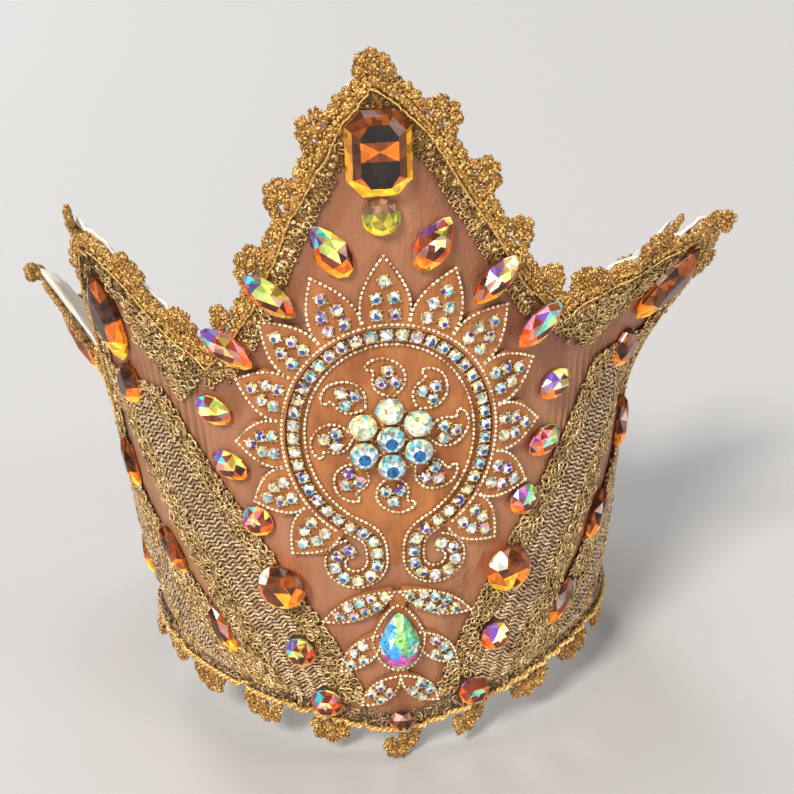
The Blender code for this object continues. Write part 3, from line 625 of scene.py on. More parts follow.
def even_azimuths(start, end, shares):
    """Azimuths at shares of the length of the top edge between two azimuths, and that length."""
    azimuths = [start + (end - start) * step / EDGE_PARTS for step in range(EDGE_PARTS + 1)]
    points = [edge_point(azimuth) for azimuth in azimuths]
    lengths = np.cumsum([0.0] + [(b - a).length for a, b in zip(points, points[1:])])
    targets = np.array(list(shares)) * lengths[-1]
    return [float(value) for value in np.interp(targets, lengths, azimuths)], float(lengths[-1])


# Joined copies of one small shape

def template_arrays(shape):
    """Corners and faces of a small bmesh, which is freed."""
    shape.verts.index_update()
    corners = np.array([vert.co[:] for vert in shape.verts])
    faces = [[vert.index for vert in face.verts] for face in shape.faces]
    shape.free()
    return corners, faces


def joined_copies(name, template, places, materials, tones=None, colours=None, smooth=True):
    """One mesh of a shape's copies at a list of matrices, with a tone or colours on each."""
    corners, faces = template
    stack = np.array([[tuple(row) for row in place] for place in places])
    spots = np.einsum("kij,vj->kvi", stack[:, :3, :3], corners) + stack[:, None, :3, 3]
    copies = len(places)
    sizes = np.tile(np.array([len(face) for face in faces]), copies)
    flat = np.concatenate([np.array(face) for face in faces])
    loops = (flat[None, :] + (np.arange(copies) * len(corners))[:, None]).ravel()
    mesh = bpy.data.meshes.new(name)
    mesh.vertices.add(copies * len(corners))
    mesh.vertices.foreach_set("co", spots.astype(np.float32).ravel())
    mesh.loops.add(len(loops))
    mesh.loops.foreach_set("vertex_index", loops.astype(np.int32))
    mesh.polygons.add(len(sizes))
    starts = np.concatenate([[0], np.cumsum(sizes)[:-1]])
    mesh.polygons.foreach_set("loop_start", starts.astype(np.int32))
    mesh.update(calc_edges=True)
    if tones is not None:
        layer = mesh.attributes.new("tone", "FLOAT", "POINT")
        layer.data.foreach_set("value", np.repeat(np.array(tones, np.float32), len(corners)))
    if colours is not None:
        layer = mesh.attributes.new("facet", "FLOAT_COLOR", "FACE")
        layer.data.foreach_set("color", np.array(colours, np.float32).ravel())
    return add_thing(name, mesh, materials, smooth)


def grain_shape(sides, rows):
    """A plain round grain of radius one, for stitches, beads and claws."""
    shape = bmesh.new()
    bmesh.ops.create_uvsphere(shape, u_segments=sides, v_segments=rows, radius=1.0)
    turn = Matrix.Rotation(0.5 * math.pi, 3, "Y")
    bmesh.ops.transform(shape, matrix=turn, verts=shape.verts)
    return template_arrays(shape)


def knot_shape(segments, sides, cord):
    """A small closed loop of cord, lying flat, of radius one."""
    shape = bmesh.new()
    seat = Matrix.Translation((1.0, 0.0, 0.0)) @ Matrix.Rotation(0.5 * math.pi, 4, "X")
    bmesh.ops.create_circle(shape, segments=sides, radius=cord, matrix=seat)
    bmesh.ops.spin(shape, geom=shape.verts[:] + shape.edges[:], cent=(0.0, 0.0, 0.0),
                   axis=(0.0, 0.0, 1.0), angle=2.0 * math.pi, steps=segments, use_merge=True)
    bmesh.ops.recalc_face_normals(shape, faces=shape.faces)
    return template_arrays(shape)


# Materials

def new_group(name, inputs, outputs):
    """An empty shader node group with named inputs and outputs."""
    group = bpy.data.node_groups.new(name, "ShaderNodeTree")
    for label, value in inputs:
        socket = group.interface.new_socket(label, in_out="INPUT", socket_type="NodeSocketFloat")
        socket.default_value = value
    for label in outputs:
        group.interface.new_socket(label, in_out="OUTPUT", socket_type="NodeSocketFloat")
    start = group.nodes.new("NodeGroupInput")
    end = group.nodes.new("NodeGroupOutput")
    return group, start, end


def set_inputs(node, values):
    """Sets the inputs of a node by their names."""
    for label, value in values.items():
        node.inputs[label].default_value = value


def add_math(nodes, links, operation, *values):
    """The outcome of a math node, each of whose values is a number or another node's output."""
    node = nodes.new("ShaderNodeMath")
    node.operation = operation
    for socket, value in zip(node.inputs, values):
        if isinstance(value, float):
            socket.default_value = value
        else:
            links.new(value, socket)
    return node.outputs["Value"]


def add_attribute(nodes, name):
    attribute = nodes.new("ShaderNodeAttribute")
    attribute.attribute_name = name
    return attribute


def add_group(nodes, group, values):
    node = nodes.new("ShaderNodeGroup")
    node.node_tree = group
    set_inputs(node, values)
    return node


def thread_group():
    """Fine thread relief and its shadows, for the lace and the cords."""
    group, start, end = new_group("thread_relief", [("Scale", 900.0), ("Depth", 0.6)],
                                  ["Height", "Shade"])
    nodes = group.nodes
    links = group.links
    place = nodes.new("ShaderNodeTexCoord")
    grain = nodes.new("ShaderNodeTexVoronoi")
    thread = nodes.new("ShaderNodeTexNoise")
    set_inputs(thread, {"Detail": 3.0})
    for texture in (grain, thread):
        links.new(place.outputs["Object"], texture.inputs["Vector"])
        links.new(start.outputs["Scale"], texture.inputs["Scale"])
    height = add_math(nodes, links, "SUBTRACT", thread.outputs["Fac"], grain.outputs["Distance"])
    lowest = add_math(nodes, links, "SUBTRACT", 1.0, start.outputs["Depth"])
    shade = nodes.new("ShaderNodeMapRange")
    set_inputs(shade, {"From Min": -0.30, "From Max": 0.35})
    links.new(height, shade.inputs["Value"])
    links.new(lowest, shade.inputs["To Min"])
    links.new(height, end.inputs["Height"])
    links.new(shade.outputs["Result"], end.inputs["Shade"])
    return group


def cloth_group():
    """A fine satin weave, soft puckers and small creases, and patches of painted light and shade
    on them.
    """
    group, start, end = new_group("satin_weave", [("Weave", 1600.0), ("Puckers", 60.0),
                                                  ("Creases", 420.0), ("Crease Shade", 0.3)],
                                  ["Height", "Painted Shading"])
    nodes = group.nodes
    links = group.links
    place = nodes.new("ShaderNodeTexCoord")
    stretch = nodes.new("ShaderNodeMapping")
    set_inputs(stretch, {"Scale": (1.0, 1.0, 0.35)})
    links.new(place.outputs["Object"], stretch.inputs["Vector"])
    reliefs = []
    for label, detail, distortion in (("Weave", 2.0, 0.0), ("Puckers", 2.5, 0.6),
                                      ("Creases", 2.0, 0.9)):
        relief = nodes.new("ShaderNodeTexNoise")
        set_inputs(relief, {"Detail": detail, "Distortion": distortion})
        links.new(start.outputs[label], relief.inputs["Scale"])
        links.new(stretch.outputs["Vector"], relief.inputs["Vector"])
        reliefs.append(relief.outputs["Fac"])
    weave, pucker, crease = reliefs
    level = add_math(nodes, links, "SUBTRACT", crease, 0.5)
    depth = start.outputs["Crease Shade"]
    # Painted light and shade: lighter on the puckers, darker in the creases.
    patch = add_math(nodes, links, "MULTIPLY_ADD", level, depth, pucker)
    creased = add_math(nodes, links, "MULTIPLY_ADD", level, CREASE_HEIGHT, pucker)
    woven = add_math(nodes, links, "MULTIPLY", weave, WEAVE_HEIGHT)
    height = add_math(nodes, links, "ADD", woven, creased)
    links.new(height, end.inputs["Height"])
    links.new(patch, end.inputs["Painted Shading"])
    return group


THREAD = thread_group()
CLOTH = cloth_group()


def new_material(name, roughness, metallic=0.0):
    material = bpy.data.materials.new(name)
    material.use_nodes = True
    shader = material.node_tree.nodes["Principled BSDF"]
    set_inputs(shader, {"Roughness": roughness, "Metallic": metallic})
    return material, material.node_tree.nodes, material.node_tree.links, shader


def add_base_ramp(nodes, links, shader, colours, share):
    """Base colour from a row of colours, picked by a share of its length."""
    ramp = nodes.new("ShaderNodeValToRGB")
    stops = ramp.color_ramp.elements
    while len(stops) < len(colours):
        stops.new(0.5)
    for index, colour in enumerate(colours):
        stops[index].position = index / (len(colours) - 1)
        stops[index].color = (*colour, 1.0)
    links.new(share, ramp.inputs["Fac"])
    links.new(ramp.outputs["Color"], shader.inputs["Base Color"])


def add_bump(nodes, links, shader, height, strength, distance):
    bump = nodes.new("ShaderNodeBump")
    set_inputs(bump, {"Strength": strength, "Distance": distance})
    links.new(height, bump.inputs["Height"])
    links.new(bump.outputs["Normal"], shader.inputs["Normal"])


def add_thread_colour(nodes, links, shader, colours, scale, depth):
    """Base colour by the tone of each knot or bead and by painted shade in its relief, whose
    height it gives.
    """
    relief = add_group(nodes, THREAD, {"Scale": scale, "Depth": depth})
    tone = add_attribute(nodes, "tone")
    shaded = add_math(nodes, links, "MULTIPLY", tone.outputs["Fac"], relief.outputs["Shade"])
    add_base_ramp(nodes, links, shader, colours, shaded)
    return relief.outputs["Height"]


def gold_thread(name, colours, scale, depth, roughness, metallic):
    """Metal thread whose colour follows the tone of each knot and painted shade in the thread's
    relief.
    """
    material, nodes, links, shader = new_material(name, roughness, metallic)
    height = add_thread_colour(nodes, links, shader, colours, scale, depth)
    set_inputs(shader, {"Coat Weight": 0.45, "Coat Roughness": 0.16})
    add_bump(nodes, links, shader, height, strength=0.7, distance=0.0003)
    return material


def bead_glass():
    """Pearly beads, each with its own tone."""
    material, nodes, links, shader = new_material("pearl_beads", 0.25, metallic=0.25)
    add_thread_colour(nodes, links, shader, PEARL, scale=700.0, depth=0.25)
    set_inputs(shader, {"Coat Weight": 0.6, "Coat Roughness": 0.08})
    return material


def mixed(first, second, share):
    return tuple(a * (1.0 - share) + b * share for a, b in zip(first, second))


def add_folds(nodes, links, patch):
    """Upright folds where the cloth is gathered: a wave round the crown, bent by the patches."""
    around = add_attribute(nodes, "around")
    gather = add_attribute(nodes, "gather")
    bend = add_math(nodes, links, "MULTIPLY", patch, FOLD_BEND)
    turn = math.tau / FOLD_PITCH
    phase = add_math(nodes, links, "MULTIPLY_ADD", around.outputs["Fac"], turn, bend)
    wave = add_math(nodes, links, "SINE", phase)
    return add_math(nodes, links, "MULTIPLY", wave, gather.outputs["Fac"])


def cloth(name, shade, dark, light, roughness, sheen, puckers, creases, strength):
    """Satin with soft puckers, painted light and shade on its relief, darker in the lace's shadow.
    """
    material, nodes, links, shader = new_material(name, roughness)
    # The creases argument sets how much painted shade falls in the creases.
    weave = add_group(nodes, CLOTH, {"Puckers": puckers, "Crease Shade": creases})
    spread = nodes.new("ShaderNodeMapRange")
    set_inputs(spread, {"From Min": 0.30, "From Max": 0.68, "To Min": 0.66})
    links.new(weave.outputs["Painted Shading"], spread.inputs["Value"])
    folds = add_folds(nodes, links, weave.outputs["Painted Shading"])
    # Painted light and shade on the folds: lighter on their crests, darker in their troughs.
    folded = add_math(nodes, links, "MULTIPLY_ADD", folds, FOLD_SHADE, spread.outputs["Result"])
    shadow = add_attribute(nodes, "shadow")
    lit = add_math(nodes, links, "SUBTRACT", folded, shadow.outputs["Fac"])
    colours = (mixed(shade, dark, 0.1), mixed(shade, dark, 0.8), dark, light)
    add_base_ramp(nodes, links, shader, colours, lit)
    set_inputs(shader, {"Sheen Weight": sheen, "Sheen Roughness": 0.35})
    raised = add_math(nodes, links, "MULTIPLY_ADD", folds, FOLD_HEIGHT, weave.outputs["Height"])
    add_bump(nodes, links, shader, raised, strength, distance=0.0030)
    return material


def cut_glass(name, glow, pieces):
    """A foiled stone: each facet shows coloured pieces of inner light under a hard gloss."""
    material, nodes, links, shader = new_material(name, 0.15)
    facet = add_attribute(nodes, "facet")
    place = nodes.new("ShaderNodeTexCoord")
    flare = nodes.new("ShaderNodeTexVoronoi")
    flare.distance = "CHEBYCHEV"
    set_inputs(flare, {"Scale": pieces})
    links.new(place.outputs["Object"], flare.inputs["Vector"])
    depth = nodes.new("ShaderNodeMapRange")
    set_inputs(depth, {"To Min": 0.22, "To Max": 1.45})
    links.new(flare.outputs["Color"], depth.inputs["Value"])
    light = nodes.new("ShaderNodeVectorMath")
    light.operation = "SCALE"
    links.new(facet.outputs["Color"], light.inputs[0])
    links.new(depth.outputs["Result"], light.inputs["Scale"])
    links.new(light.outputs["Vector"], shader.inputs["Base Color"])
    # The facet colours also glow: painted inner light.
    links.new(light.outputs["Vector"], shader.inputs["Emission Color"])
    set_inputs(shader, {"Emission Strength": glow, "IOR": 1.45, "Specular IOR Level": 0.25,
                        "Coat Weight": 0.6, "Coat Roughness": 0.02, "Coat IOR": 1.5})
    return material


# Colours of the threads and beads, from the deepest shade to the brightest light
BRIGHT_GOLD = ((0.080, 0.030, 0.006), (0.500, 0.250, 0.050), (0.950, 0.600, 0.170),
               (1.000, 0.860, 0.420))
OLD_GOLD = ((0.060, 0.030, 0.012), (0.390, 0.235, 0.105), (0.930, 0.670, 0.390),
            (1.000, 0.930, 0.740))
LOOP_GOLD = ((0.040, 0.020, 0.006), (0.380, 0.215, 0.064), (0.980, 0.680, 0.280),
             (1.000, 0.940, 0.640))
PEARL = ((0.26, 0.13, 0.05), (0.80, 0.62, 0.38), (1.00, 0.94, 0.76))

SATIN = cloth("nude_satin", (0.140, 0.045, 0.026), (0.285, 0.108, 0.047), (0.430, 0.192, 0.093),
              roughness=0.42, sheen=0.16, puckers=52.0, creases=0.12, strength=1.00)
LINING = cloth("cream_lining", (0.50, 0.42, 0.32), (0.70, 0.62, 0.52), (0.86, 0.80, 0.72),
               roughness=0.62, sheen=0.25, puckers=55.0, creases=0.10, strength=0.35)
APPLIQUE = cloth("amber_satin", (0.120, 0.033, 0.009), (0.275, 0.085, 0.020),
                 (0.450, 0.165, 0.047),
                 roughness=0.45, sheen=0.10, puckers=90.0, creases=0.36, strength=0.60)
PICOT_GOLD = gold_thread("bright_gold_thread", BRIGHT_GOLD, scale=1500.0, depth=0.72,
                         roughness=0.26, metallic=0.45)
BAND_GOLD = gold_thread("old_gold_thread", OLD_GOLD, scale=1400.0, depth=0.70,
                        roughness=0.30, metallic=0.35)
CURL_GOLD = gold_thread("curled_gold_cord", LOOP_GOLD, scale=1400.0, depth=0.66,
                        roughness=0.25, metallic=0.45)
BEADS = bead_glass()
AMBER_GLASS = cut_glass("amber_stone_glass", glow=0.65, pieces=330.0)
AURORA_GLASS = cut_glass("aurora_stone_glass", glow=0.32, pieces=300.0)
CRYSTAL_GLASS = cut_glass("crystal_stone_glass", glow=0.10, pieces=800.0)


# Cut stones: their seats, read from their solids

def stone_seat(node):
    """A stone's seat: a matrix with Z out of the wall, half width, half length and height."""
    mesh = frame["nodes"][node].data
    groups = {}
    for face in mesh.polygons:
        key = tuple(round(value, 1) for value in face.normal)
        groups[key] = groups.get(key, Vector()) + face.normal * face.area
    normal = -max(groups.values(), key=lambda item: item.length).normalized()
    corners = [vert.co.copy() for vert in mesh.vertices]
    middle = sum(corners, Vector()) / len(corners)
    if normal.dot(from_axis(middle)) < 0.0:
        normal.negate()
    up = (UP - normal * UP.dot(normal)).normalized()
    side = up.cross(normal)
    flat = np.array([((c - middle).dot(side), (c - middle).dot(up)) for c in corners])
    spread, axes = np.linalg.eigh(np.cov(flat.T))
    if spread[1] > LONG_STONE * spread[0]:
        long = side * axes[0, 1] + up * axes[1, 1]
        up = (long if long.z > 0.0 else -long).normalized()
        side = up.cross(normal)
    heights = [corner.dot(normal) for corner in corners]
    across = [corner.dot(side) for corner in corners]
    along = [corner.dot(up) for corner in corners]
    centre = (side * 0.5 * (min(across) + max(across)) + up * 0.5 * (min(along) + max(along))
              + normal * min(heights))
    seat = Matrix.Translation(centre) @ turned_to(side, up, normal)
    return (seat, 0.5 * (max(across) - min(across)), 0.5 * (max(along) - min(along)),
            max(heights) - min(heights))


STONE_NODES = [node for node in sorted(frame["nodes"])
               if "_stone" in node or "_navette_" in node or "_oval_" in node]
STONE_SEATS = {node: stone_seat(node) for node in STONE_NODES}
CLUSTER_SEAT = stone_seat("stone_cluster")[0]
FOOTPRINTS = [(seat.translation.copy(), seat.inverted(), half_width, half_length)
              for seat, half_width, half_length, height in STONE_SEATS.values()]


def under_stone(point):
    """Whether a place on the lace is well under a cut stone."""
    for centre, inverse, half_width, half_length in FOOTPRINTS:
        if (point - centre).length > half_length + STONE_REACH:
            continue
        spot = inverse @ point
        across = spot.x / (half_width - STONE_MARGIN)
        along = spot.y / (half_length - STONE_MARGIN)
        if abs(spot.z) < STONE_REACH and across * across + along * along < 1.0:
            return True
    return False


# Satin wall and lining

def lace_shadow(spot):
    """How deep a place on the satin lies in the shadow beside the lace of the top edge."""
    azimuth = azimuth_of(spot)
    depth = (edge_top(azimuth) - spot.z) / edge_stretch(azimuth)
    beyond = max(depth - EDGE_BRAID, 0.0)
    return LACE_SHADOW_DEPTH * max(0.0, 1.0 - beyond / LACE_SHADOW)


def gathered(spot):
    """How far the satin is gathered at a place."""
    azimuth = azimuth_of(spot)
    depth = edge_top(azimuth) - spot.z
    aside = 1.0 - abs(abs(azimuth) - GATHER_AZIMUTH[0]) / GATHER_AZIMUTH[1]
    below = 1.0 - abs(depth - GATHER_DEPTH[0]) / GATHER_DEPTH[1]
    return min(1.0, GATHER_GAIN * max(0.0, min(aside, below)))


def build_wall(sheet):
    """The satin with its lining: the sheet thickened inwards, lined inside and on its edges."""
    shadow = sheet.verts.layers.float.new("shadow")
    gather = sheet.verts.layers.float.new("gather")
    around = sheet.verts.layers.float.new("around")
    for vert in sheet.verts:
        vert[shadow] = lace_shadow(vert.co)
        vert[gather] = gathered(vert.co)
        vert[around] = azimuth_of(vert.co)
    bmesh.ops.solidify(sheet, geom=sheet.faces[:], thickness=SATIN_THICKNESS)
    for face in sheet.faces:
        out = from_axis(face.calc_center_median()).normalized()
        face.material_index = 0 if face.normal.dot(out) > SATIN_SIDE else 1
    wall = finish_mesh("satin_wall", sheet, [SATIN, LINING])
    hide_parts("crown_wall")


def build_lining_edge():
    """The cream edge of the lining that stands out behind the picots, with a soft wave."""
    strip = bmesh.new()
    last_row = len(LINING_ROWS) - 1
    bmesh.ops.create_grid(strip, x_segments=LINING_COLUMNS, y_segments=last_row, size=0.5)
    for vert in strip.verts:
        step = round((vert.co.x + 0.5) * LINING_COLUMNS) % LINING_COLUMNS
        reach, depth = LINING_ROWS[round((vert.co.y + 0.5) * last_row)]
        azimuth = 360.0 * step / LINING_COLUMNS
        point, along, away, normal = edge_frame(azimuth)
        wave = 0.5 + 0.5 * math.sin(azimuth * 1.9) * math.sin(azimuth * 0.7 + 1.0)
        if reach > 0.0:
            reach = reach * LINING_REACH * (0.35 + 0.65 * wave)
        vert.co = point + away * reach - normal * (depth + LINING_WAVE * wave)
    bmesh.ops.remove_doubles(strip, verts=strip.verts, dist=FINE_MERGE_DISTANCE)
    face_out(strip)
    edge = finish_mesh("lining_edge", strip, [LINING])


# Lace

class Threads:
    """Gathers the stitches, knots, loops and hearts of a piece of lace, and makes its meshes."""

    def __init__(self, seed):
        self.chance = random.Random(seed)
        self.places = {"stitches": [], "knots": [], "loops": [], "hearts": []}
        self.tones = {"stitches": [], "knots": [], "loops": [], "hearts": []}

    def add(self, kind, place, tone):
        self.places[kind].append(place)
        self.tones[kind].append(tone)

    def place(self, spot, along, normal, sizes, turn, tilt):
        """A matrix for a stitch or knot: turned in the lace's plane and tilted by chance."""
        away = normal.cross(along).normalized()
        base = turned_to(along, away, normal)
        turned = (Matrix.Rotation(turn, 4, "Z")
                  @ Matrix.Rotation(self.chance.uniform(-tilt, tilt), 4, "X")
                  @ Matrix.Rotation(self.chance.uniform(-tilt, tilt), 4, "Y"))
        return Matrix.Translation(spot) @ base @ turned @ Matrix.Diagonal((*sizes, 1.0))

    def stitch(self, spot, along, normal, size, turn, tilt, tone):
        grow = size * self.chance.uniform(*STITCH_SIZES)
        sizes = [value * grow for value in STITCH]
        self.add("stitches", self.place(spot, along, normal, sizes, turn, tilt), tone)

    def knot(self, spot, along, normal, size, tilt, tone, long=1.0):
        turn = self.chance.uniform(0.0, math.tau) if long == 1.0 else 0.0
        radius = size * KNOT_RADIUS * self.chance.uniform(*KNOT_SIZES)
        sizes = (radius, radius * long * self.chance.uniform(*KNOT_SQUASH), radius)
        self.add("knots", self.place(spot, along, normal, sizes, turn, tilt), tone)

    def loop(self, spot, along, normal, radius, tilt, tone):
        """A larger, thinner loop of cord, a little squashed and turned by chance."""
        sizes = (radius, radius * self.chance.uniform(*LOOP_SQUASH), radius)
        turn = self.chance.uniform(0.0, math.tau)
        self.add("loops", self.place(spot, along, normal, sizes, turn, tilt), tone)

    def curl(self, spot, along, normal, kind):
        """One thing of the curled lace: a loop of cord, or under it a knot or a stitch."""
        if kind == "loop":
            radius = self.chance.uniform(*LOOP_RADII)
            tone = self.chance.uniform(0.45, 1.0)
            self.loop(spot, along, normal, radius, tilt=0.35, tone=tone)
        elif self.chance.random() < 0.5:
            tone = self.chance.uniform(0.15, 0.8)
            self.knot(spot, along, normal, size=0.9, tilt=0.55, tone=tone)
        else:
            turn = self.chance.uniform(0.0, math.pi)
            tone = self.chance.uniform(0.30, 1.0)
            self.stitch(spot, along, normal, size=1.4, turn=turn, tilt=0.5, tone=tone)

    def lobe(self, centre, along, away, normal, radius):
        """A lump of crumpled thread: a heart, dark with painted shade, with stitches all round it.
        """
        heart = turned_to(along, away, normal)
        sizes = Matrix.Diagonal((radius, radius, radius * HEART_FLATNESS, 1.0))
        self.add("hearts", Matrix.Translation(centre) @ heart @ sizes, HEART_SHADE)
        start = self.chance.uniform(0.0, math.tau)
        for item in range(LOBE_STITCHES):
            turn = start + item * GOLDEN_TURN
            level = 1.0 - LOBE_STITCH_SPREAD * item / (LOBE_STITCHES - 1)
            reach = math.sqrt(1.0 - level * level)
            way = along * (reach * math.cos(turn)) + away * (reach * math.sin(turn))
            spot = centre + way * radius + normal * (radius * HEART_FLATNESS * level)
            face = (way * HEART_FLATNESS + normal * level).normalized()
            side = face.orthogonal().normalized()
            # Stitches lower on the lobe are painted darker, as shade.
            tone = self.chance.uniform(0.30, 1.0) * (0.75 + 0.25 * level)
            spin = self.chance.uniform(0.0, math.pi)
            self.stitch(spot, side, face, LOBE_STITCH_SIZE, spin, tilt=0.4, tone=tone)

    def picot(self, point, along, away, normal, scale=1.0):
        """One picot of the fringe: a small clover of lobes."""
        for lobe_along, lobe_away, radius in LOBES:
            drift = self.chance.uniform(-0.0005, 0.0005)
            rise = self.chance.uniform(-0.0004, 0.0004)
            centre = (point + along * (lobe_along * scale + drift)
                      + away * (lobe_away * scale + rise) + normal * LOBE_LIFT)
            self.lobe(centre, along, away, normal, radius * scale * self.chance.uniform(0.9, 1.1))

    def make(self, name, material, replaces=None):
        """Each kind of thread as one joined mesh, the first in the place of a solid if named."""
        shapes = {"stitches": grain_shape(5, 3), "knots": knot_shape(6, 3, KNOT_CORD_SHARE),
                  "loops": knot_shape(8, 4, LOOP_CORD_SHARE), "hearts": grain_shape(8, 5)}
        for kind, shape in shapes.items():
            if self.places[kind]:
                worn = CURL_GOLD if kind == "loops" else material
                joined_copies(f"{name}_{kind}", shape, self.places[kind], [worn],
                                          self.tones[kind])
        if replaces:
            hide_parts(replaces)


def lumps(point, size):
    return noise.noise(point / size)


def lumpy_place(point, normal, border, lift, tone, sizes, spots):
    """A place on a lumpy ground, low at its border, and its tone with spots of other tones."""
    rise = (lift + LUMP_HEIGHT * lumps(point, sizes[0])) * border
    return point + normal * (GROUND_LIFT + rise), tone + spots * lumps(point, sizes[1])


def lace_ground(name, size, closed, place, material):
    """A low, lumpy ground of thread under the knots, dark as painted shade. The place gives a
    point and its tone.
    """
    columns, rows = size
    sheet = bmesh.new()
    bmesh.ops.create_grid(sheet, x_segments=columns, y_segments=rows, size=0.5)
    tone = sheet.verts.layers.float.new("tone")
    for vert in sheet.verts:
        along = round((vert.co.x + 0.5) * columns) / columns
        if closed:
            along %= 1.0
        across = round((vert.co.y + 0.5) * rows) / rows
        vert.co, vert[tone] = place(along, across)
    bmesh.ops.remove_doubles(sheet, verts=sheet.verts, dist=FINE_MERGE_DISTANCE)
    face_out(sheet)
    ground = finish_mesh(name, sheet, [material])


def swept_cord(name, radius, spots, tone):
    """A plain closed cord of bright gold through a list of points, in one tone."""
    path = bpy.data.curves.new("cord_path", "CURVE")
    path.dimensions = "3D"
    path.bevel_depth = radius
    path.bevel_resolution = 1
    line = path.splines.new("POLY")
    line.points.add(len(spots) - 1)
    line.use_cyclic_u = True
    for item, spot in zip(line.points, spots):
        item.co = (*spot, 1.0)
    curve = bpy.data.objects.new("cord", path)
    mesh = bpy.data.meshes.new_from_object(curve)
    bpy.data.objects.remove(curve)
    mesh.materials.clear()
    layer = mesh.attributes.new("tone", "FLOAT", "POINT")
    layer.data.foreach_set("value", [tone] * len(mesh.vertices))
    mesh.name = name
    cord = add_thing(name, mesh, [PICOT_GOLD])


# Lace of the top edge

def edge_picots():
    """Middles of the top edge's picots, as azimuths."""
    picots = []
    for start, tip, end, before, after in PETALS:
        shares = [(item + 0.5) / (before - 0.5) for item in range(before)]
        picots += even_azimuths(start, tip, shares)[0]
        shares = [item / (after - 0.5) for item in range(1, after)]
        picots += even_azimuths(tip, end, shares)[0]
    return picots


def edge_halves():
    """Both halves of every petal's edge, and whether the tip is at the second end."""
    for start, tip, end, before, after in PETALS:
        yield start, tip, True
        yield tip, end, False


def tip_shading(share, length, tip_last):
    """How far painted shade darkens the inner braid at a share of an edge: darkest under the
    petal's tip.
    """
    from_tip = (1.0 - share if tip_last else share) * length
    return TIP_SHADE + (1.0 - TIP_SHADE) * min(from_tip / DARK_TIP_REACH, 1.0)


def build_edge_picots():
    """The clovers along the top edge, and the small lobes between them."""
    lace = Threads(11)
    picots = edge_picots()
    tips = [tip for start, tip, end, before, after in PETALS]
    for azimuth in picots:
        point, along, away, normal = edge_frame(azimuth)
        at_tip = min(abs(azimuth - tip) for tip in tips) < 0.5
        lace.picot(point - away * (TIP_PICOT_DROP * at_tip), along, away, normal)
    shares = [share for share, rise, radius in SMALL_LOBES]
    for first, last in zip(picots, picots[1:] + [picots[0] + 360.0]):
        places = even_azimuths(first, last, shares)[0]
        for azimuth, (share, rise, radius) in zip(places, SMALL_LOBES):
            point, along, away, normal = edge_frame(azimuth)
            centre = point + away * rise + normal * LOBE_LIFT
            lace.lobe(centre, along, away, normal, radius)
    lace.make("edge_picots", PICOT_GOLD, "edge_lace")


def edge_ground_place(along, across):
    """A place on the ground under the edge's rope and braid, and its tone: painted shade, lighter
    under the rope.
    """
    depth = -GROUND_START + (EDGE_BRAID + GROUND_START) * across
    point, normal = below_edge(360.0 * along, max(depth, 0.0), 0.0)
    rope = max(0.0, 1.0 - ((depth - 0.5 * EDGE_ROPE) / (0.62 * EDGE_ROPE)) ** 2)
    border = min(1.0, GROUND_SLOPE * across, GROUND_SLOPE * (1.0 - across))
    spot, tone = lumpy_place(point, normal, border, lift=0.0009 + 0.0010 * rope,
                             tone=0.30 + 0.35 * rope, sizes=EDGE_LUMPS, spots=0.12)
    # The groove is painted dark, as shade.
    if EDGE_ROPE < depth < EDGE_ROPE + GROOVE:
        tone = GROOVE_SHADE
    return spot, tone


def add_rope(lace, azimuth):
    """One step of the rope along the top edge: a few stitches, turned each its own way."""
    chance = lace.chance
    for row in range(ROPE_ROWS):
        depth = EDGE_ROPE * (row + 0.35 + chance.uniform(-0.2, 0.2)) / ROPE_ROWS
        lift = ROPE_LIFT + ROPE_BULGE * (row == 1) + chance.uniform(-0.0002, 0.0003)
        drift = chance.uniform(-0.3, 0.3)
        spot, normal = below_edge(azimuth + drift, depth, lift)
        if under_stone(spot):
            continue
        along = edge_frame(round(azimuth))[1]
        tone = chance.uniform(0.35, 1.0)
        turn = chance.uniform(-1.2, 1.2)
        lace.stitch(spot, along, normal, size=1.25, turn=turn, tilt=0.5, tone=tone)


def add_braid(lace, azimuth, light):
    """One step of the braid under the rope: knots and stitches, and a long knot as its border."""
    chance = lace.chance
    along = edge_frame(round(azimuth))[1]
    for row in range(BRAID_ROWS):
        depth = EDGE_ROPE + BRAID_GAP + BRAID_ROW * (row + chance.uniform(-0.2, 0.3))
        lift = BRAID_LIFT + chance.uniform(-0.0002, 0.0006)
        drift = chance.uniform(-0.4, 0.4)
        spot, normal = below_edge(azimuth + drift, depth, lift)
        if under_stone(spot):
            continue
        # The light share is painted shade, darkest under the petal tips.
        tone = light * chance.uniform(0.25, 1.0)
        if chance.random() < 0.6:
            lace.knot(spot, along, normal, size=1.0, tilt=0.6, tone=tone)
        else:
            turn = chance.uniform(0.0, math.pi)
            tone = min(tone + 0.2, 1.0)
            lace.stitch(spot, along, normal, size=1.6, turn=turn, tilt=0.4, tone=tone)
    spot, normal = below_edge(azimuth, EDGE_BRAID - BORDER_INSET, BORDER_LIFT)
    if not under_stone(spot):
        tone = light * chance.uniform(0.55, 1.0)
        lace.knot(spot, along, normal, size=0.78, tilt=0.25, tone=tone, long=1.9)


def build_edge_braid():
    """The rope along the top edge, and below it a braid of small loops with a looped border."""
    lace_ground("edge_ground", EDGE_GROUND, True, edge_ground_place, PICOT_GOLD)
    rope = Threads(12)
    braid = Threads(13)
    for first, last, tip_last in edge_halves():
        length = even_azimuths(first, last, [1.0])[1]
        count = round(length / ROPE_PITCH)
        shares = [(item + 0.5) / count for item in range(count)]
        for azimuth in even_azimuths(first, last, shares)[0]:
            add_rope(rope, azimuth)
        count = round(length / BRAID_PITCH)
        shares = [(item + 0.5) / count for item in range(count)]
        for share, azimuth in zip(shares, even_azimuths(first, last, shares)[0]):
            add_braid(braid, azimuth, tip_shading(share, length, tip_last))
    rope.make("edge_rope", PICOT_GOLD)
    braid.make("edge_braid", CURL_GOLD)


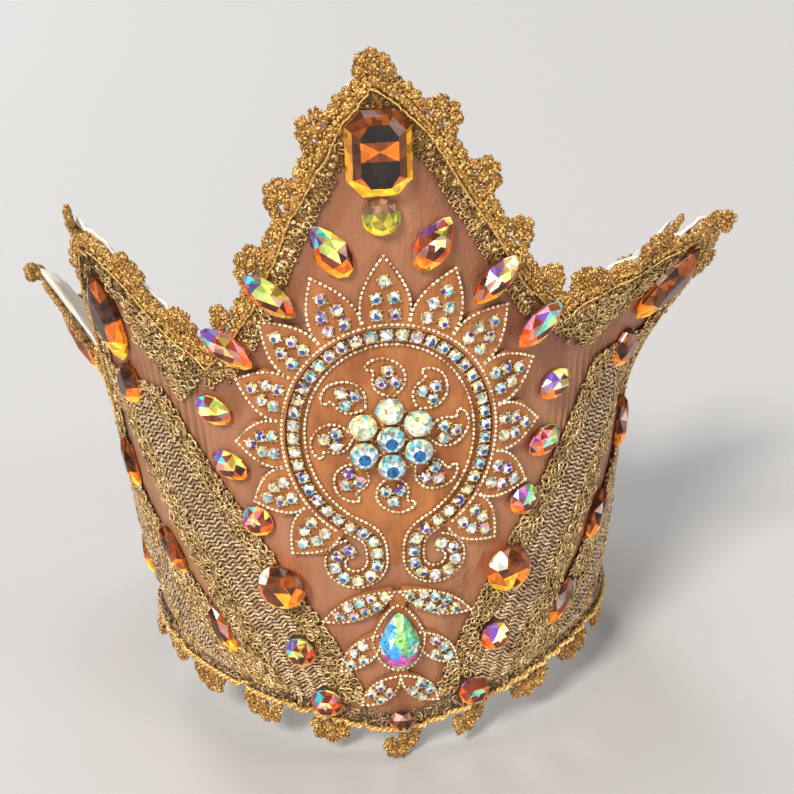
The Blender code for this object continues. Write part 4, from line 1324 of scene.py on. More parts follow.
def build_edge_cord():
    """The fine cord between the rope and the braid of the top edge."""
    spots = []
    for step in range(EDGE_CORD_STEPS):
        azimuth = 360.0 * step / EDGE_CORD_STEPS
        wave = EDGE_CORD_WAVE * math.sin(step * EDGE_CORD_WAVE_TURN)
        spots.append(below_edge(azimuth, EDGE_ROPE + EDGE_CORD_GAP + wave, EDGE_CORD_LIFT)[0])
    swept_cord("edge_cord", EDGE_CORD, spots, tone=0.80)


# Lace of the rim

def rim_frame(azimuth):
    """The rim at an azimuth: its point, the way along, down and outward."""
    point, normal = on_wall(azimuth, edge_low(azimuth) + RIM_INSET)
    ahead = on_wall(azimuth + EDGE_SPAN, edge_low(azimuth + EDGE_SPAN) + RIM_INSET)[0]
    behind = on_wall(azimuth - EDGE_SPAN, edge_low(azimuth - EDGE_SPAN) + RIM_INSET)[0]
    return point - UP * RIM_INSET, (ahead - behind).normalized(), -UP, outward(azimuth)


def rim_ground_place(along, across):
    """A place on the ground under the rim's braid, and its tone, dark as painted shade."""
    azimuth = 360.0 * along
    point, normal = on_wall(azimuth, edge_low(azimuth) + RIM_BRAID * across)
    border = min(1.0, GROUND_SLOPE * (1.0 - across))
    return lumpy_place(point, normal, border, lift=0.0010, tone=0.26, sizes=EDGE_LUMPS, spots=0.14)


def build_rim_lace():
    """The picots that the crown stands on, and the braid above them."""
    lace = Threads(21)
    for item in range(RIM_PICOTS):
        point, along, away, normal = rim_frame(360.0 * item / RIM_PICOTS)
        lace.picot(point, along, away, normal, RIM_PICOT_SCALE)
    lace.make("rim_picots", PICOT_GOLD, "rim_lace")
    lace_ground("rim_ground", RIM_GROUND, True, rim_ground_place, BAND_GOLD)
    braid = Threads(22)
    chance = braid.chance
    for step in range(RIM_COLUMNS):
        azimuth = 360.0 * (step + 0.5) / RIM_COLUMNS
        along = rim_frame(azimuth)[1]
        for row in range(RIM_ROWS):
            rise = RIM_ROW_START + RIM_ROW * (row + chance.uniform(-0.25, 0.25))
            lift = BRAID_LIFT + chance.uniform(-0.0002, 0.0005)
            drift = chance.uniform(-0.4, 0.4)
            spot, normal = on_wall(azimuth + drift, edge_low(azimuth + drift) + rise, lift)
            if not under_stone(spot):
                tone = chance.uniform(0.15, 0.80)
                braid.knot(spot, along, normal, size=0.95, tilt=0.6, tone=tone)
    for step in range(RIM_STITCHES):
        azimuth = 360.0 * (step + 0.5) / RIM_STITCHES
        point, along, away, normal = rim_frame(azimuth)
        spot = point + normal * RIM_STITCH_LIFT - away * RIM_STITCH_RISE
        tone = chance.uniform(0.4, 0.9)
        turn = chance.uniform(-1.0, 1.0)
        braid.stitch(spot, along, normal, size=1.1, turn=turn, tilt=0.5, tone=tone)
    braid.make("rim_braid", BAND_GOLD)


def build_rim_cord():
    """Two twisted strands round the rim, above the picots."""
    samples = RIM_CORD_TURNS * RIM_CORD_TURN_STEPS
    offset = STRAND_OFFSET * RIM_CORD
    for strand in range(2):
        spots = []
        for step in range(samples):
            turn = math.tau * (RIM_CORD_TURNS * step / samples + 0.5 * strand)
            point, along, away, normal = rim_frame(360.0 * step / samples)
            spot = point + normal * (RIM_CORD_LIFT + offset * math.cos(turn))
            spots.append(spot + UP * (RIM_CORD_HEIGHT + offset * math.sin(turn)))
        swept_cord(f"rim_cord_{strand + 1}", STRAND_RADIUS * RIM_CORD, spots, tone=0.92)


# Curled lace and bands

def curled_place(point, normal, border):
    """A place on the ground under curled lace, and its tone, dark as painted shade."""
    return lumpy_place(point, normal, border, lift=0.0009, tone=0.17, sizes=BAND_LUMPS, spots=0.14)


def curl_lift(chance, kind):
    return chance.uniform(*CURL_LIFTS) + LOOP_RISE * (kind == "loop")


class Band:
    """One band of ribbed lace, laid on the wall along its bent centre line."""

    def __init__(self, name, side, top_azimuth, foot_azimuth, bend):
        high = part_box(name)[1]
        self.side = side
        self.top_azimuth = top_azimuth
        self.foot_azimuth = foot_azimuth
        self.bend = bend
        self.rise = high.z - BAND_FOOT + FRONT_BAND_TOP * name.startswith("lace_band_front")
        ends = self.spot(0.0, 0.0)[0] - self.spot(0.0, 1.0)[0]
        self.length = BAND_BEND_GAIN * ends.length

    def spot(self, across, share, lift=0.0):
        centre = self.foot_azimuth + (self.top_azimuth - self.foot_azimuth) * share ** self.bend
        azimuth = self.side * (centre + across * BAND_HALF_ANGLE)
        height = BAND_FOOT + self.rise * share
        return on_wall(azimuth, max(height, edge_low(azimuth) + RIM_BRAID), lift)

    def along(self, across, share):
        ahead = self.spot(across, min(share + BAND_STEP, 1.0))[0]
        behind = self.spot(across, max(share - BAND_STEP, 0.0))[0]
        return (ahead - behind).normalized()


def add_band_ribs(lace, band, width):
    """Wavy ribs of long stitches down the middle of a band."""
    chance = lace.chance
    rows = round(band.length / RIB_PITCH)
    start, end = BAND_RIBS
    long = 0.5 * (end - start) * 0.5 * width / RIB_COLUMNS * RIB_OVERLAP
    for row in range(rows):
        for column in range(RIB_COLUMNS):
            odd = column % 2
            share = (row + 0.5 + chance.uniform(-0.10, 0.10)) / rows
            across = start + (end - start) * (column + 0.5) / RIB_COLUMNS
            lift = RIB_LIFT + RIB_STEP * odd + chance.uniform(-0.0001, 0.0002)
            spot, normal = band.spot(across, share, lift)
            if under_stone(spot):
                continue
            turn = (RIB_TURN if odd else -RIB_TURN) + chance.uniform(-0.15, 0.15)
            level = chance.uniform(0.50, 1.0)
            away = normal.cross(band.along(across, share)).normalized()
            place = lace.place(spot, away, normal, (long, *RIB_THREAD), turn, tilt=0.12)
            lace.add("stitches", place, level)


def add_band_edge(lace, band, start, end, width):
    """Curled loops of cord over small knots, on one side of a band's ribs."""
    chance = lace.chance
    for kind, pitch in CURLED_LACE:
        columns = max(round(width / pitch), 1)
        rows = round(band.length / pitch)
        for row in range(rows):
            for column in range(columns):
                across = start + (end - start) * (column + chance.uniform(0.2, 0.8)) / columns
                share = (row + chance.uniform(0.2, 0.8)) / rows
                spot, normal = band.spot(across, share, curl_lift(chance, kind))
                if not under_stone(spot):
                    lace.curl(spot, band.along(across, share), normal, kind)


def build_band(name, side, top_azimuth, foot_azimuth, bend, front, back, seed):
    """A band with ribs of stitches down its middle, and curled loops along its edges."""
    band = Band(name, side, top_azimuth, foot_azimuth, bend)
    width = 2.0 * BAND_HALF_ANGLE * DEGREE * BAND_RADIUS

    def ground_place(along, across):
        inner = back - front - 2.0 * BAND_GROUND_INSET
        point, normal = band.spot((front + BAND_GROUND_INSET) + inner * across, along)
        border = min(1.0, BAND_SLOPE * across, BAND_SLOPE * (1.0 - across))
        return curled_place(point, normal, border)

    ground = name.replace("lace_band", "band_ground")
    lace_ground(ground, BAND_GROUND, False, ground_place, BAND_GOLD)
    lace = Threads(seed)
    add_band_ribs(lace, band, width)
    rib_start, rib_end = BAND_RIBS
    for start, end in ((front + BAND_EDGE_INSET, rib_start), (rib_end, back - BAND_EDGE_INSET)):
        add_band_edge(lace, band, start, end, 0.5 * (end - start) * width)
    lace.make(name.replace("lace_band", "band"), BAND_GOLD, name)


def build_bands():
    seed = 30
    for node, *shape in BANDS:
        for label, side in SIDES:
            build_band(f"{node}_{label}", side, *shape, seed)
            seed += 1
    node, *shape = BACK_BAND
    build_band(node, 1.0, *shape, seed)


def petal_lace_reach(share):
    """How far the wide lace of a front side petal reaches below the edge's braid."""
    return PETAL_LACE * min(1.0, 3.0 * share + 0.25, 0.35 + 3.0 * (1.0 - share))


def add_petal_curls(lace, start, end, kind, pitch):
    """One kind of the curled threads of a front side petal, in rows below the edge's braid."""
    chance = lace.chance
    columns = round(even_azimuths(start, end, [1.0])[1] / pitch)
    shares = [(item + chance.uniform(0.2, 0.8)) / columns for item in range(columns)]
    for share, azimuth in zip(shares, even_azimuths(start, end, shares)[0]):
        for row in range(round(petal_lace_reach(share) / pitch)):
            depth = EDGE_BRAID + pitch * (row + chance.uniform(-0.1, 0.5))
            spot, normal = below_edge(azimuth, depth, curl_lift(chance, kind))
            if not under_stone(spot):
                lace.curl(spot, edge_frame(round(azimuth))[1], normal, kind)


def build_petal_lace():
    """Curled lace that fills the front side petals between the edge's braid and the stones."""
    for label, side in SIDES:
        start, end = (side * azimuth for azimuth in PETAL_LACE_SPAN)

        def ground_place(along, across):
            depth = EDGE_BRAID - PETAL_LACE_OVERLAP + petal_lace_reach(along) * across
            point, normal = below_edge(start + (end - start) * along, depth, 0.0)
            border = min(1.0, GROUND_SLOPE * (1.0 - across), PETAL_SLOPE * along,
                         PETAL_SLOPE * (1.0 - along))
            return curled_place(point, normal, border)

        lace_ground(f"petal_ground_{label}", PETAL_GROUND, False, ground_place, BAND_GOLD)
        lace = Threads(45 + side)
        for kind, pitch in CURLED_LACE:
            add_petal_curls(lace, start, end, kind, pitch)
        lace.make(f"petal_lace_{label}", BAND_GOLD)


# Cut stones

def outline(kind, sides):
    """Points of a stone's outline within a square of half side one."""
    points = []
    for step in range(sides):
        angle = math.tau * step / sides
        x = math.cos(angle)
        y = math.sin(angle)
        if kind == "navette":
            x = math.copysign(abs(x) ** 1.35, x)
            y = math.copysign(abs(y) ** 0.90, y)
        if kind == "teardrop":
            x *= 1.0 - 0.45 * max(y, 0.0) ** 1.1
        points.append((x, y))
    return points


def finish_cut(shape):
    """Closes a stone's corners into flat facets."""
    bmesh.ops.convex_hull(shape, input=shape.verts)
    bmesh.ops.dissolve_limit(shape, angle_limit=0.5 * DEGREE, verts=shape.verts, edges=shape.edges)
    bmesh.ops.recalc_face_normals(shape, faces=shape.faces)
    return shape


def cut_shape(points, table, girdle=0.24, star=0.78):
    """A cut stone of half width, half length and height one: girdle, crown facets and table."""
    shape = bmesh.new()
    count = len(points)
    for height, scale, turn, stride in ((0.0, 0.90, 0, 1), (girdle, 1.0, 0, 1),
                                        (girdle + 0.12, 0.99, 0, 1),
                                        (star, 0.52 * (1.0 + table), 1, 2), (1.0, table, 0, 2)):
        for index in range(0, count, stride):
            x, y = points[(index + turn) % count]
            shape.verts.new((x * scale, y * scale, height))
    return finish_cut(shape)


def step_cut_shape():
    """A step-cut octagon of half width, half length and height one, with a tall table."""
    shape = bmesh.new()
    corner = ((0.52, 1.0), (1.0, 0.62), (1.0, -0.62), (0.52, -1.0))
    points = list(corner) + [(-x, -y) for x, y in corner]
    for height, wide, long in ((0.0, 0.92, 0.94), (0.26, 1.0, 1.0), (0.42, 0.98, 0.99),
                               (0.76, 0.80, 0.87), (1.0, 0.56, 0.72)):
        for x, y in points:
            shape.verts.new((x * wide, y * long, height))
    return finish_cut(shape)


def split_table(shape, lines):
    """Cuts the faces of the table along lines, as the facets of the back show through it."""
    for (x, y), turn in lines:
        table = [face for face in shape.faces if face.calc_center_median().z > TABLE_LEVEL]
        edges = list({edge for face in table for edge in face.edges})
        corners = list({vert for face in table for vert in face.verts})
        across = (-math.sin(turn * DEGREE), math.cos(turn * DEGREE), 0.0)
        bmesh.ops.bisect_plane(shape, geom=corners + edges + table, dist=0.0001,
                               plane_co=(x, y, 1.0), plane_no=across)


def held(value):
    """A value held between nought and one."""
    return min(1.0, max(0.0, value))


def drawn(chance, first, second, least, most):
    """A mix of two colours, its share of the second drawn between two limits."""
    return mixed(first, second, chance.uniform(least, most))


# Facets' colours. Each function is given a facet's place across and along the stone, whether it
# is part of the table, a source of chance and the number of the stone's sheen.
# The facets carry painted reflections, highlights, shade and inner light, placed for light from
# above.


def amber_facet(x, y, flat, chance, sheen):
    """Dark through the table, with orange and yellow light that leaves at the foot."""
    if flat:
        if y < -0.18 and chance.random() < 0.5:
            return drawn(chance, AMBER_BROWN, AMBER_ORANGE, 0.1, 0.7)
        return drawn(chance, AMBER_DARK, AMBER_BROWN, 0.0, 0.9)
    if y < -0.38:
        yellow = 0.55 + x + chance.uniform(0.0, 0.5)
        return mixed(AMBER_ORANGE, AMBER_YELLOW, held(yellow))
    if y < -0.10:
        return drawn(chance, AMBER_RUST, AMBER_ORANGE, 0.2, 1.0)
    # A pale painted highlight on some upper left facets.
    if x < -0.25 and y > 0.35 and chance.random() < 0.4:
        return drawn(chance, PINK_BROWN, SHEEN_PALE, 0.0, 0.2)
    if chance.random() < 0.6:
        return drawn(chance, AMBER_DARK, AMBER_BROWN, 0.0, 1.0)
    return drawn(chance, AMBER_BROWN, AMBER_RUST, 0.2, 1.0)


def large_facet(x, y, flat, chance, sheen):
    """The two large round stones: brown above, yellow and orange fire over their lower half."""
    # A pale painted highlight at the upper left.
    if y > 0.45 and x < -0.35:
        return drawn(chance, SHEEN_PALE, PINK_BROWN, 0.0, 0.3)
    if flat and y > 0.12:
        return drawn(chance, AMBER_BROWN, AMBER_RUST, 0.0, 0.8)
    if flat:
        return chance.choice((AMBER_YELLOW, mixed(AMBER_DARK, AMBER_RUST, 0.3), AMBER_ORANGE,
                              mixed(AMBER_ORANGE, AMBER_YELLOW, 0.6)))
    if y < -0.30:
        yellow = 0.75 - 0.8 * x + chance.uniform(-0.2, 0.4)
        return mixed(AMBER_ORANGE, AMBER_YELLOW, held(yellow))
    if y < 0.15:
        return drawn(chance, AMBER_RUST, AMBER_ORANGE, 0.1, 1.0)
    return drawn(chance, AMBER_DARK, AMBER_RUST, 0.1, 0.8)


def cushion_facet(x, y, flat, chance, sheen):
    """The tall stone at the tip: two black windows of painted shade over amber, and a bright
    yellow foot of painted light.
    """
    if flat and (y > 0.30 or y < -0.10):
        return AMBER_DARK
    if flat and abs(x) < 0.12:
        return drawn(chance, AMBER_DARK, AMBER_RUST, 0.1, 0.6)
    if flat:
        return drawn(chance, AMBER_RUST, AMBER_ORANGE, 0.1, 0.8)
    if y < -0.60:
        return drawn(chance, AMBER_YELLOW, AMBER_PALE, 0.0, 0.4)
    if y < 0.05 and abs(x) > 0.85:
        return drawn(chance, AMBER_RUST, AMBER_YELLOW, 0.2, 0.6)
    if y < 0.05:
        return drawn(chance, AMBER_RUST, AMBER_ORANGE, 0.1, 0.7)
    return drawn(chance, AMBER_DARK, AMBER_RUST, 0.1, 0.7)


def olive_facet(x, y, flat, chance, sheen):
    """The round stone under it: olive within, with yellow-green and gold light painted at its
    foot.
    """
    if flat:
        return mixed(OLIVE_DARK, mixed(OLIVE_GREEN, AMBER_YELLOW, 0.4), chance.uniform(0.1, 0.6))
    if y < -0.40:
        return drawn(chance, AMBER_YELLOW, OLIVE_GREEN, 0.0, 0.8)
    if y > 0.30:
        return drawn(chance, PINK_BROWN, OLIVE_DARK, 0.2, 1.0)
    return drawn(chance, OLIVE_DARK, OLIVE_GREEN, 0.1, 0.7)


def aurora_facet(x, y, flat, chance, sheen):
    """A bright sheen over the upper half, dark red under it, and light at the foot."""
    first, second, side = SHEENS[sheen]
    if flat and y > -0.02:
        sheen_colour = mixed(first, second, held(0.5 + 1.4 * x))
        return drawn(chance, sheen_colour, SHEEN_PALE, 0.0, 0.20)
    if flat:
        return drawn(chance, TOPAZ_DARK, TOPAZ_BROWN, 0.0, 1.0)
    if y < -0.50:
        return mixed(TOPAZ_ORANGE, TOPAZ_YELLOW, held(0.5 + 1.2 * x))
    if y < -0.15:
        return drawn(chance, TOPAZ_RED, TOPAZ_ORANGE, 0.0, 0.9)
    if y < 0.30:
        return chance.choice((TOPAZ_BROWN, TOPAZ_DARK, TOPAZ_RED, PINK_BROWN))
    if x < -0.10:
        return chance.choice((side, mixed(side, SHEEN_PURPLE, 0.7), TOPAZ_BROWN, SHEEN_PURPLE))
    return chance.choice((mixed(first, TOPAZ_BROWN, 0.3), second, TOPAZ_BROWN,
                          mixed(second, TOPAZ_BROWN, 0.6)))


def pear_facet(x, y, flat, chance, sheen):
    """Painted reflections: blue above, green down the middle, rose below, a pale foot and white
    glints.
    """
    if chance.random() < 0.10:
        return CLEAR_WHITE
    if y < -0.66:
        return drawn(chance, CLEAR_CREAM, SHEEN_GREEN, 0.0, 0.7)
    if y < -0.30:
        return drawn(chance, PEAR_ROSE, PEAR_VIOLET, 0.0, 0.5)
    if abs(x) < 0.20:
        return drawn(chance, PEAR_GREEN, CLEAR_WHITE, 0.0, 0.25)
    if x < 0.0:
        light = PEAR_VIOLET if y < 0.0 else CLEAR_WHITE
        return drawn(chance, PEAR_BLUE, light, 0.0, 0.3)
    return mixed(PEAR_TEAL, mixed(PEAR_GREEN, CLEAR_SHADE, 0.5), chance.uniform(0.0, 0.8))


def build_stone(node, kind, facet_colour, glass, table, sides, seed):
    """One cut stone in the place of its solid, with a colour for every facet."""
    chance = random.Random(seed)
    seat, half_width, half_length, height = STONE_SEATS[node]
    if kind == "octagon":
        shape = step_cut_shape()
        split_table(shape, STEP_LINES)
    else:
        shape = cut_shape(outline(kind, sides), table)
        split_table(shape, ROUND_LINES)
    # Facets are placed upright on the wall, so that the painted light falls from above.
    lean = math.atan2(seat.col[0].z, seat.col[1].z)
    layer = shape.faces.layers.float_color.new("facet")
    for face in shape.faces:
        centre = face.calc_center_median()
        flat = centre.z > TABLE_LEVEL
        x = centre.x * math.cos(lean) - centre.y * math.sin(lean)
        y = centre.x * math.sin(lean) + centre.y * math.cos(lean)
        face[layer] = (*facet_colour(x, y, flat, chance, seed % len(SHEENS)), 1.0)
    bmesh.ops.scale(shape, vec=(half_width, half_length, height), verts=shape.verts)
    bmesh.ops.transform(shape, matrix=seat, verts=shape.verts)
    bmesh.ops.recalc_face_normals(shape, faces=shape.faces)
    material, slot = glass
    stone = finish_mesh(f"{node}_cut", shape, [material], smooth=False)
    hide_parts(node)


AMBER = (AMBER_GLASS, "amber_stone")
AURORA = (AURORA_GLASS, "aurora_stone")
CRYSTAL = (CRYSTAL_GLASS, "crystal_stone")

# Start of the stones' names, their outline, facets, glass with its slot, table and sides.
STONES = (
    ("cushion_stone", "octagon", cushion_facet, AMBER, 0.56, 8),
    ("top_round_stone", "round", olive_facet, AMBER, 0.55, 16),
    ("large_round_stone", "round", large_facet, AMBER, 0.60, 16),
    (("rim_stone", "front_petal_oval", "side_petal_oval", "back_petal_stone"),
     "round", amber_facet, AMBER, 0.55, 12),
    (("column_stone", "front_petal_navette", "side_petal_navette"),
     "navette", amber_facet, AMBER, 0.50, 12),
    ("teardrop_stone", "teardrop", aurora_facet, AURORA, 0.50, 12),
    ("navette_stone", "navette", aurora_facet, AURORA, 0.52, 12),
    (("oval_stone", "round_stone"), "round", aurora_facet, AURORA, 0.55, 12),
    ("pear_stone", "teardrop", pear_facet, CRYSTAL, 0.50, 16),
)


def build_main_stones():
    """Every cut stone, each with a chance of its own."""
    for seed, node in enumerate(STONE_NODES, 100):
        for start, kind, facet_colour, glass, table, sides in STONES:
            if node.startswith(start):
                build_stone(node, kind, facet_colour, glass, table, sides, seed)


# Small stones and beads of the sun

def ring_point(angle, grow):
    turn = angle * DEGREE
    return ((RING_HALF_WIDTH + grow) * math.sin(turn),
            (RING_HALF_HEIGHT + grow) * math.cos(turn))


def scroll_path():
    """Half of the stone string's line, from the ring's top to the scroll's end."""
    last = 180.0 - RING_OPENING
    points = [ring_point(last * step / RING_STEPS, 0.0) for step in range(RING_STEPS + 1)]
    start = Vector(points[-1])
    heading = (start - Vector(ring_point(last - 1.0, 0.0))).normalized()
    scroll = Vector((SCROLL_OFFSET, -SCROLL_DROP))
    end = scroll - Vector((SCROLL_RADIUS, 0.0))
    reach = 0.5 * (end - start).length
    bend_start = start + heading * reach
    bend_end = end + Vector((0.0, reach))
    for step in range(1, BEND_STEPS + 1):
        t = step / BEND_STEPS
        spot = (start * (1 - t) ** 3 + bend_start * 3 * t * (1 - t) ** 2
                + bend_end * 3 * t * t * (1 - t) + end * t ** 3)
        points.append(tuple(spot))
    for step in range(1, SCROLL_STEPS + 1):
        turn = math.pi + SCROLL_TURN * step / SCROLL_STEPS
        radius = SCROLL_RADIUS * (1.0 - SCROLL_NARROWING * step / SCROLL_STEPS)
        points.append((scroll.x + radius * math.cos(turn), scroll.y + radius * math.sin(turn)))
    return points


def even_line(points, pitch):
    """Points at an even pitch along a flat line, with the line's direction at each."""
    line = np.array(points)
    steps = np.linalg.norm(np.diff(line, axis=0), axis=1)
    lengths = np.concatenate([[0.0], np.cumsum(steps)])
    count = max(round(lengths[-1] / pitch), 1)
    marks = np.linspace(0.0, lengths[-1], count + 1)
    x = np.interp(marks, lengths, line[:, 0])
    y = np.interp(marks, lengths, line[:, 1])
    turn = np.arctan2(np.gradient(y), np.gradient(x))
    return [(float(a), float(b), float(c)) for a, b, c in zip(x, y, turn)]


def mirrored(points, side):
    """A flat line as it is, or mirrored across the motif's middle."""
    return [(side * x, y) for x, y in points]


def beside(points, offset):
    """A flat line moved sideways by a length."""
    return [(x - offset * math.sin(turn), y + offset * math.cos(turn))
            for x, y, turn in even_line(points, LINE_PITCH)]


def front_place(across, up, lift, turn, sizes):
    """A matrix on the front panel for a small thing, turned in the panel's plane."""
    point, normal = on_front(across, MOTIF_HEIGHT + up, lift)
    seat = frame_on(point, normal, UP)
    return seat @ Matrix.Rotation(turn, 4, "Z") @ Matrix.Diagonal((*sizes, 1.0))


def clear_colours(shape, chance):
    """Colours of a small clear stone's facets, all painted light: a deep table, bright stars and
    tinted sides.
    """
    table = chance.choice((CLEAR_BLUE, CLEAR_PURPLE, CLEAR_CYAN, CLEAR_WHITE, CLEAR_WHITE,
                           CLEAR_CREAM, CLEAR_BLUE))
    tint = chance.choice((CLEAR_CYAN, CLEAR_CREAM, CLEAR_ROSE, CLEAR_CREAM, CLEAR_PURPLE))
    colours = []
    for across, up, level in shape:
        if level > CLEAR_TABLE:
            colour = table
        elif level > CLEAR_STAR:
            colour = chance.choice((CLEAR_WHITE, CLEAR_WHITE, tint, CLEAR_CREAM, CLEAR_GREY))
        # Painted shade on some lower facets.
        elif up < -0.30 and chance.random() < 0.45:
            colour = CLEAR_SHADE
        else:
            colour = chance.choice((CLEAR_WHITE, tint, CLEAR_CREAM, CLEAR_SHADE, CLEAR_GREY))
        light = chance.uniform(0.75, 1.0)
        colours.append((*(value * light for value in colour), 1.0))
    return colours


def clear_template(sides, table, height):
    """A small clear stone, with each facet's place up it and how high it lies."""
    shape = cut_shape(outline("round", sides), table, girdle=0.20, star=0.80)
    facets = [face.calc_center_median()[:] for face in shape.faces]
    bmesh.ops.scale(shape, vec=(1.0, 1.0, height), verts=shape.verts)
    return template_arrays(shape), facets


class StoneField:
    """Gathers small clear stones and their claws, and makes them as joined meshes."""

    def __init__(self):
        self.stones = []
        self.claws = []

    def add(self, across, up, lift, size, turn=0.0):
        half = 0.5 * size
        self.stones.append(front_place(across, up, lift, turn, (half, half, half)))
        for claw in range(4):
            angle = turn + 0.25 * math.pi + 0.5 * math.pi * claw
            x = across + half * math.cos(angle)
            y = up + half * math.sin(angle)
            self.claws.append(front_place(x, y, lift + CLAW_LIFT, angle, CLAW))

    def make(self, name, node, seed):
        chance = random.Random(seed)
        template, facets = clear_template(10, table=0.46, height=0.95)
        colours = []
        for stone in self.stones:
            colours += clear_colours(facets, chance)
        stones = joined_copies(name, template, self.stones, [CRYSTAL_GLASS], colours=colours,
                               smooth=False)
        if node:
            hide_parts(node)
        tones = [chance.uniform(0.45, 1.0) for claw in self.claws]
        claws = joined_copies(f"{name}_claws", grain_shape(6, 3), self.claws, [PICOT_GOLD], tones)


def build_stone_string():
    """The string of clear stones round the ring and down both scrolls."""
    field = StoneField()
    half = scroll_path()
    for x, y, turn in even_line(mirrored(half[:0:-1], -1.0) + half, STRING_PITCH):
        field.add(x, y, STRING_LIFT, STRING_STONE, turn)
    field.make("ring_stones", "stone_string", 51)


def ray_places():
    """The sun's rays: the angle of each, the step between them, and its gain in length."""
    step = RAY_SPAN / RAYS
    for ray in range(RAYS):
        angle = -0.5 * RAY_SPAN + step * (ray + 0.5)
        gain = 1.0 + RAY_TOP_GAIN * max(0.0, math.cos(angle * DEGREE))
        gain -= RAY_SIDE_LOSS * abs(math.sin(angle * DEGREE))
        yield angle, step, gain


def ray_point(angle, out):
    return ring_point(angle, RAY_BELT_INNER + RAY_BELT + out)


def leaf_ends(base_x, base_z, tip_x, tip_z):
    """A right leaf's base and tip, seen from the motif's middle."""
    return Vector((base_x, base_z - MOTIF_HEIGHT)), Vector((tip_x, tip_z - MOTIF_HEIGHT))


def square_to(line):
    return Vector((-line.y, line.x)).normalized()


def leaf_stones(base, tip, half_width):
    """Places of a leaf's stones: one at each end and pairs where the leaf is wide."""
    line = tip - base
    aside = square_to(line) * LEAF_PAIR_OFFSET
    along, last = LEAF_STONE_ENDS
    while along < line.length - last:
        share = along / line.length
        half = LEAF_FULLNESS * half_width * share * (1.0 - share)
        spot = base + line * share
        if half > LEAF_PAIR_WIDTH:
            yield spot + aside
            yield spot - aside
        else:
            yield spot
        along += LEAF_STONE_PITCH


def near_pear(spot):
    """Whether a leaf stone would lie on the pear stone or on the motif's middle line."""
    half_width, half_height = PEAR_PLACE
    height = spot.y + MOTIF_HEIGHT - PEAR_HEIGHT
    inside = (spot.x / half_width) ** 2 + (height / half_height) ** 2 < 1.0
    return inside or spot.x < LEAF_MIDDLE_GAP


def build_small_stones():
    """The small clear stones of the rays, the leaves and the trefoils."""
    rays = StoneField()
    for angle, step, gain in ray_places():
        for out, aside in RAY_STONES:
            x, y = ray_point(angle + aside * step, out * RAY_LENGTH * gain)
            rays.add(x, y, RAY_LIFT - SMALL_STONE_SINK, SMALL_STONE, RAY_STONE_TURN * out)
    rays.make("ray_stones", None, 52)
    leaves = StoneField()
    size = LEAF_STONE_SHARE * SMALL_STONE
    for *ends, half_width in LEAVES:
        for spot in leaf_stones(*leaf_ends(*ends), half_width):
            if near_pear(spot):
                continue
            for side in (-1.0, 1.0):
                leaves.add(side * spot.x, spot.y, LEAF_LIFT - SMALL_STONE_SINK, size,
                           LEAF_STONE_TURN)
    leaves.make("leaf_stones", None, 53)
    trefoils = StoneField()
    for item in range(TREFOILS):
        for petal in range(3):
            turn = math.tau * petal / 3.0
            aside = TREFOIL_SPREAD * math.sin(turn)
            out = TREFOIL_SPREAD * math.cos(turn)
            x, y = trefoil_place(item, aside, out)
            trefoils.add(x, y, TREFOIL_LIFT, SMALL_STONE, turn)
    trefoils.make("trefoil_stones", None, 54)


def cluster_spots():
    """Middles of the cluster's stones: one with six round it."""
    pitch = CLUSTER_STONE + CLUSTER_GAP
    spots = [(0.0, 0.0)]
    for step in range(6):
        angle = math.pi * (step / 3 + 1 / 6)
        spots.append((pitch * math.cos(angle), pitch * math.sin(angle)))
    return spots


def cluster_colour(facet, lit, chance):
    """Colour of a facet: a cream light in the upper stones, a blue depth in the others."""
    across, up, level = facet
    ray = round(math.atan2(across, up) / (math.pi / 8.0)) % 2
    if level > CLEAR_TABLE:
        return mixed(CLEAR_CREAM, CLEAR_WHITE, 0.5) if lit else CLEAR_BLUE
    if level > CLEAR_STAR and lit:
        if across > 0.3 and ray:
            return CLEAR_CYAN
        return chance.choice((CLEAR_CREAM, CLEAR_WHITE, CLEAR_CREAM))
    if level > CLEAR_STAR:
        return CLEAR_WHITE if ray else chance.choice((CLEAR_CYAN, CLEAR_GREY))
    if up < -0.2:
        return chance.choice((CLEAR_ROSE, CLEAR_CREAM, CLEAR_SHADE, CLEAR_GREY))
    return chance.choice((CLEAR_CREAM, CLEAR_CREAM, CLEAR_WHITE, CLEAR_CYAN))


def build_cluster():
    """Seven larger clear stones round the middle, each with its blue or cream light."""
    chance = random.Random(61)
    template, facets = clear_template(16, table=0.46, height=0.92)
    half = 0.5 * CLUSTER_STONE
    size = Matrix.Diagonal((half, half, half, 1.0))
    places = []
    colours = []
    for x, y in cluster_spots():
        places.append(CLUSTER_SEAT @ Matrix.Translation((x, y, CLUSTER_LIFT)) @ size)
        for facet in facets:
            colours.append((*cluster_colour(facet, y > 0.002, chance), 1.0))
    cluster = joined_copies("cluster_stones", template, places, [CRYSTAL_GLASS],
                            colours=colours, smooth=False)
    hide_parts("stone_cluster")
    places = []
    size = Matrix.Diagonal((CLUSTER_CLAW, CLUSTER_CLAW, CLUSTER_CLAW, 1.0))
    reach = CLUSTER_CLAW_REACH * CLUSTER_STONE
    for x, y in cluster_spots():
        for step in range(6):
            angle = math.tau * step / 6
            spot = (x + reach * math.cos(angle), y + reach * math.sin(angle), CLUSTER_CLAW_LIFT)
            places.append(CLUSTER_SEAT @ Matrix.Translation(spot) @ size)
    tones = [chance.uniform(0.4, 1.0) for place in places]
    claws = joined_copies("cluster_claws", grain_shape(6, 3), places, [PICOT_GOLD], tones)


def curve_through(base, middle, tip, steps):
    """A bent flat line from a base to a tip that passes a middle."""
    bend = middle * 2.0 - (base + tip) * 0.5
    return [tuple(base * (1 - t) ** 2 + bend * 2 * t * (1 - t) + tip * t * t)
            for t in (item / steps for item in range(steps + 1))]


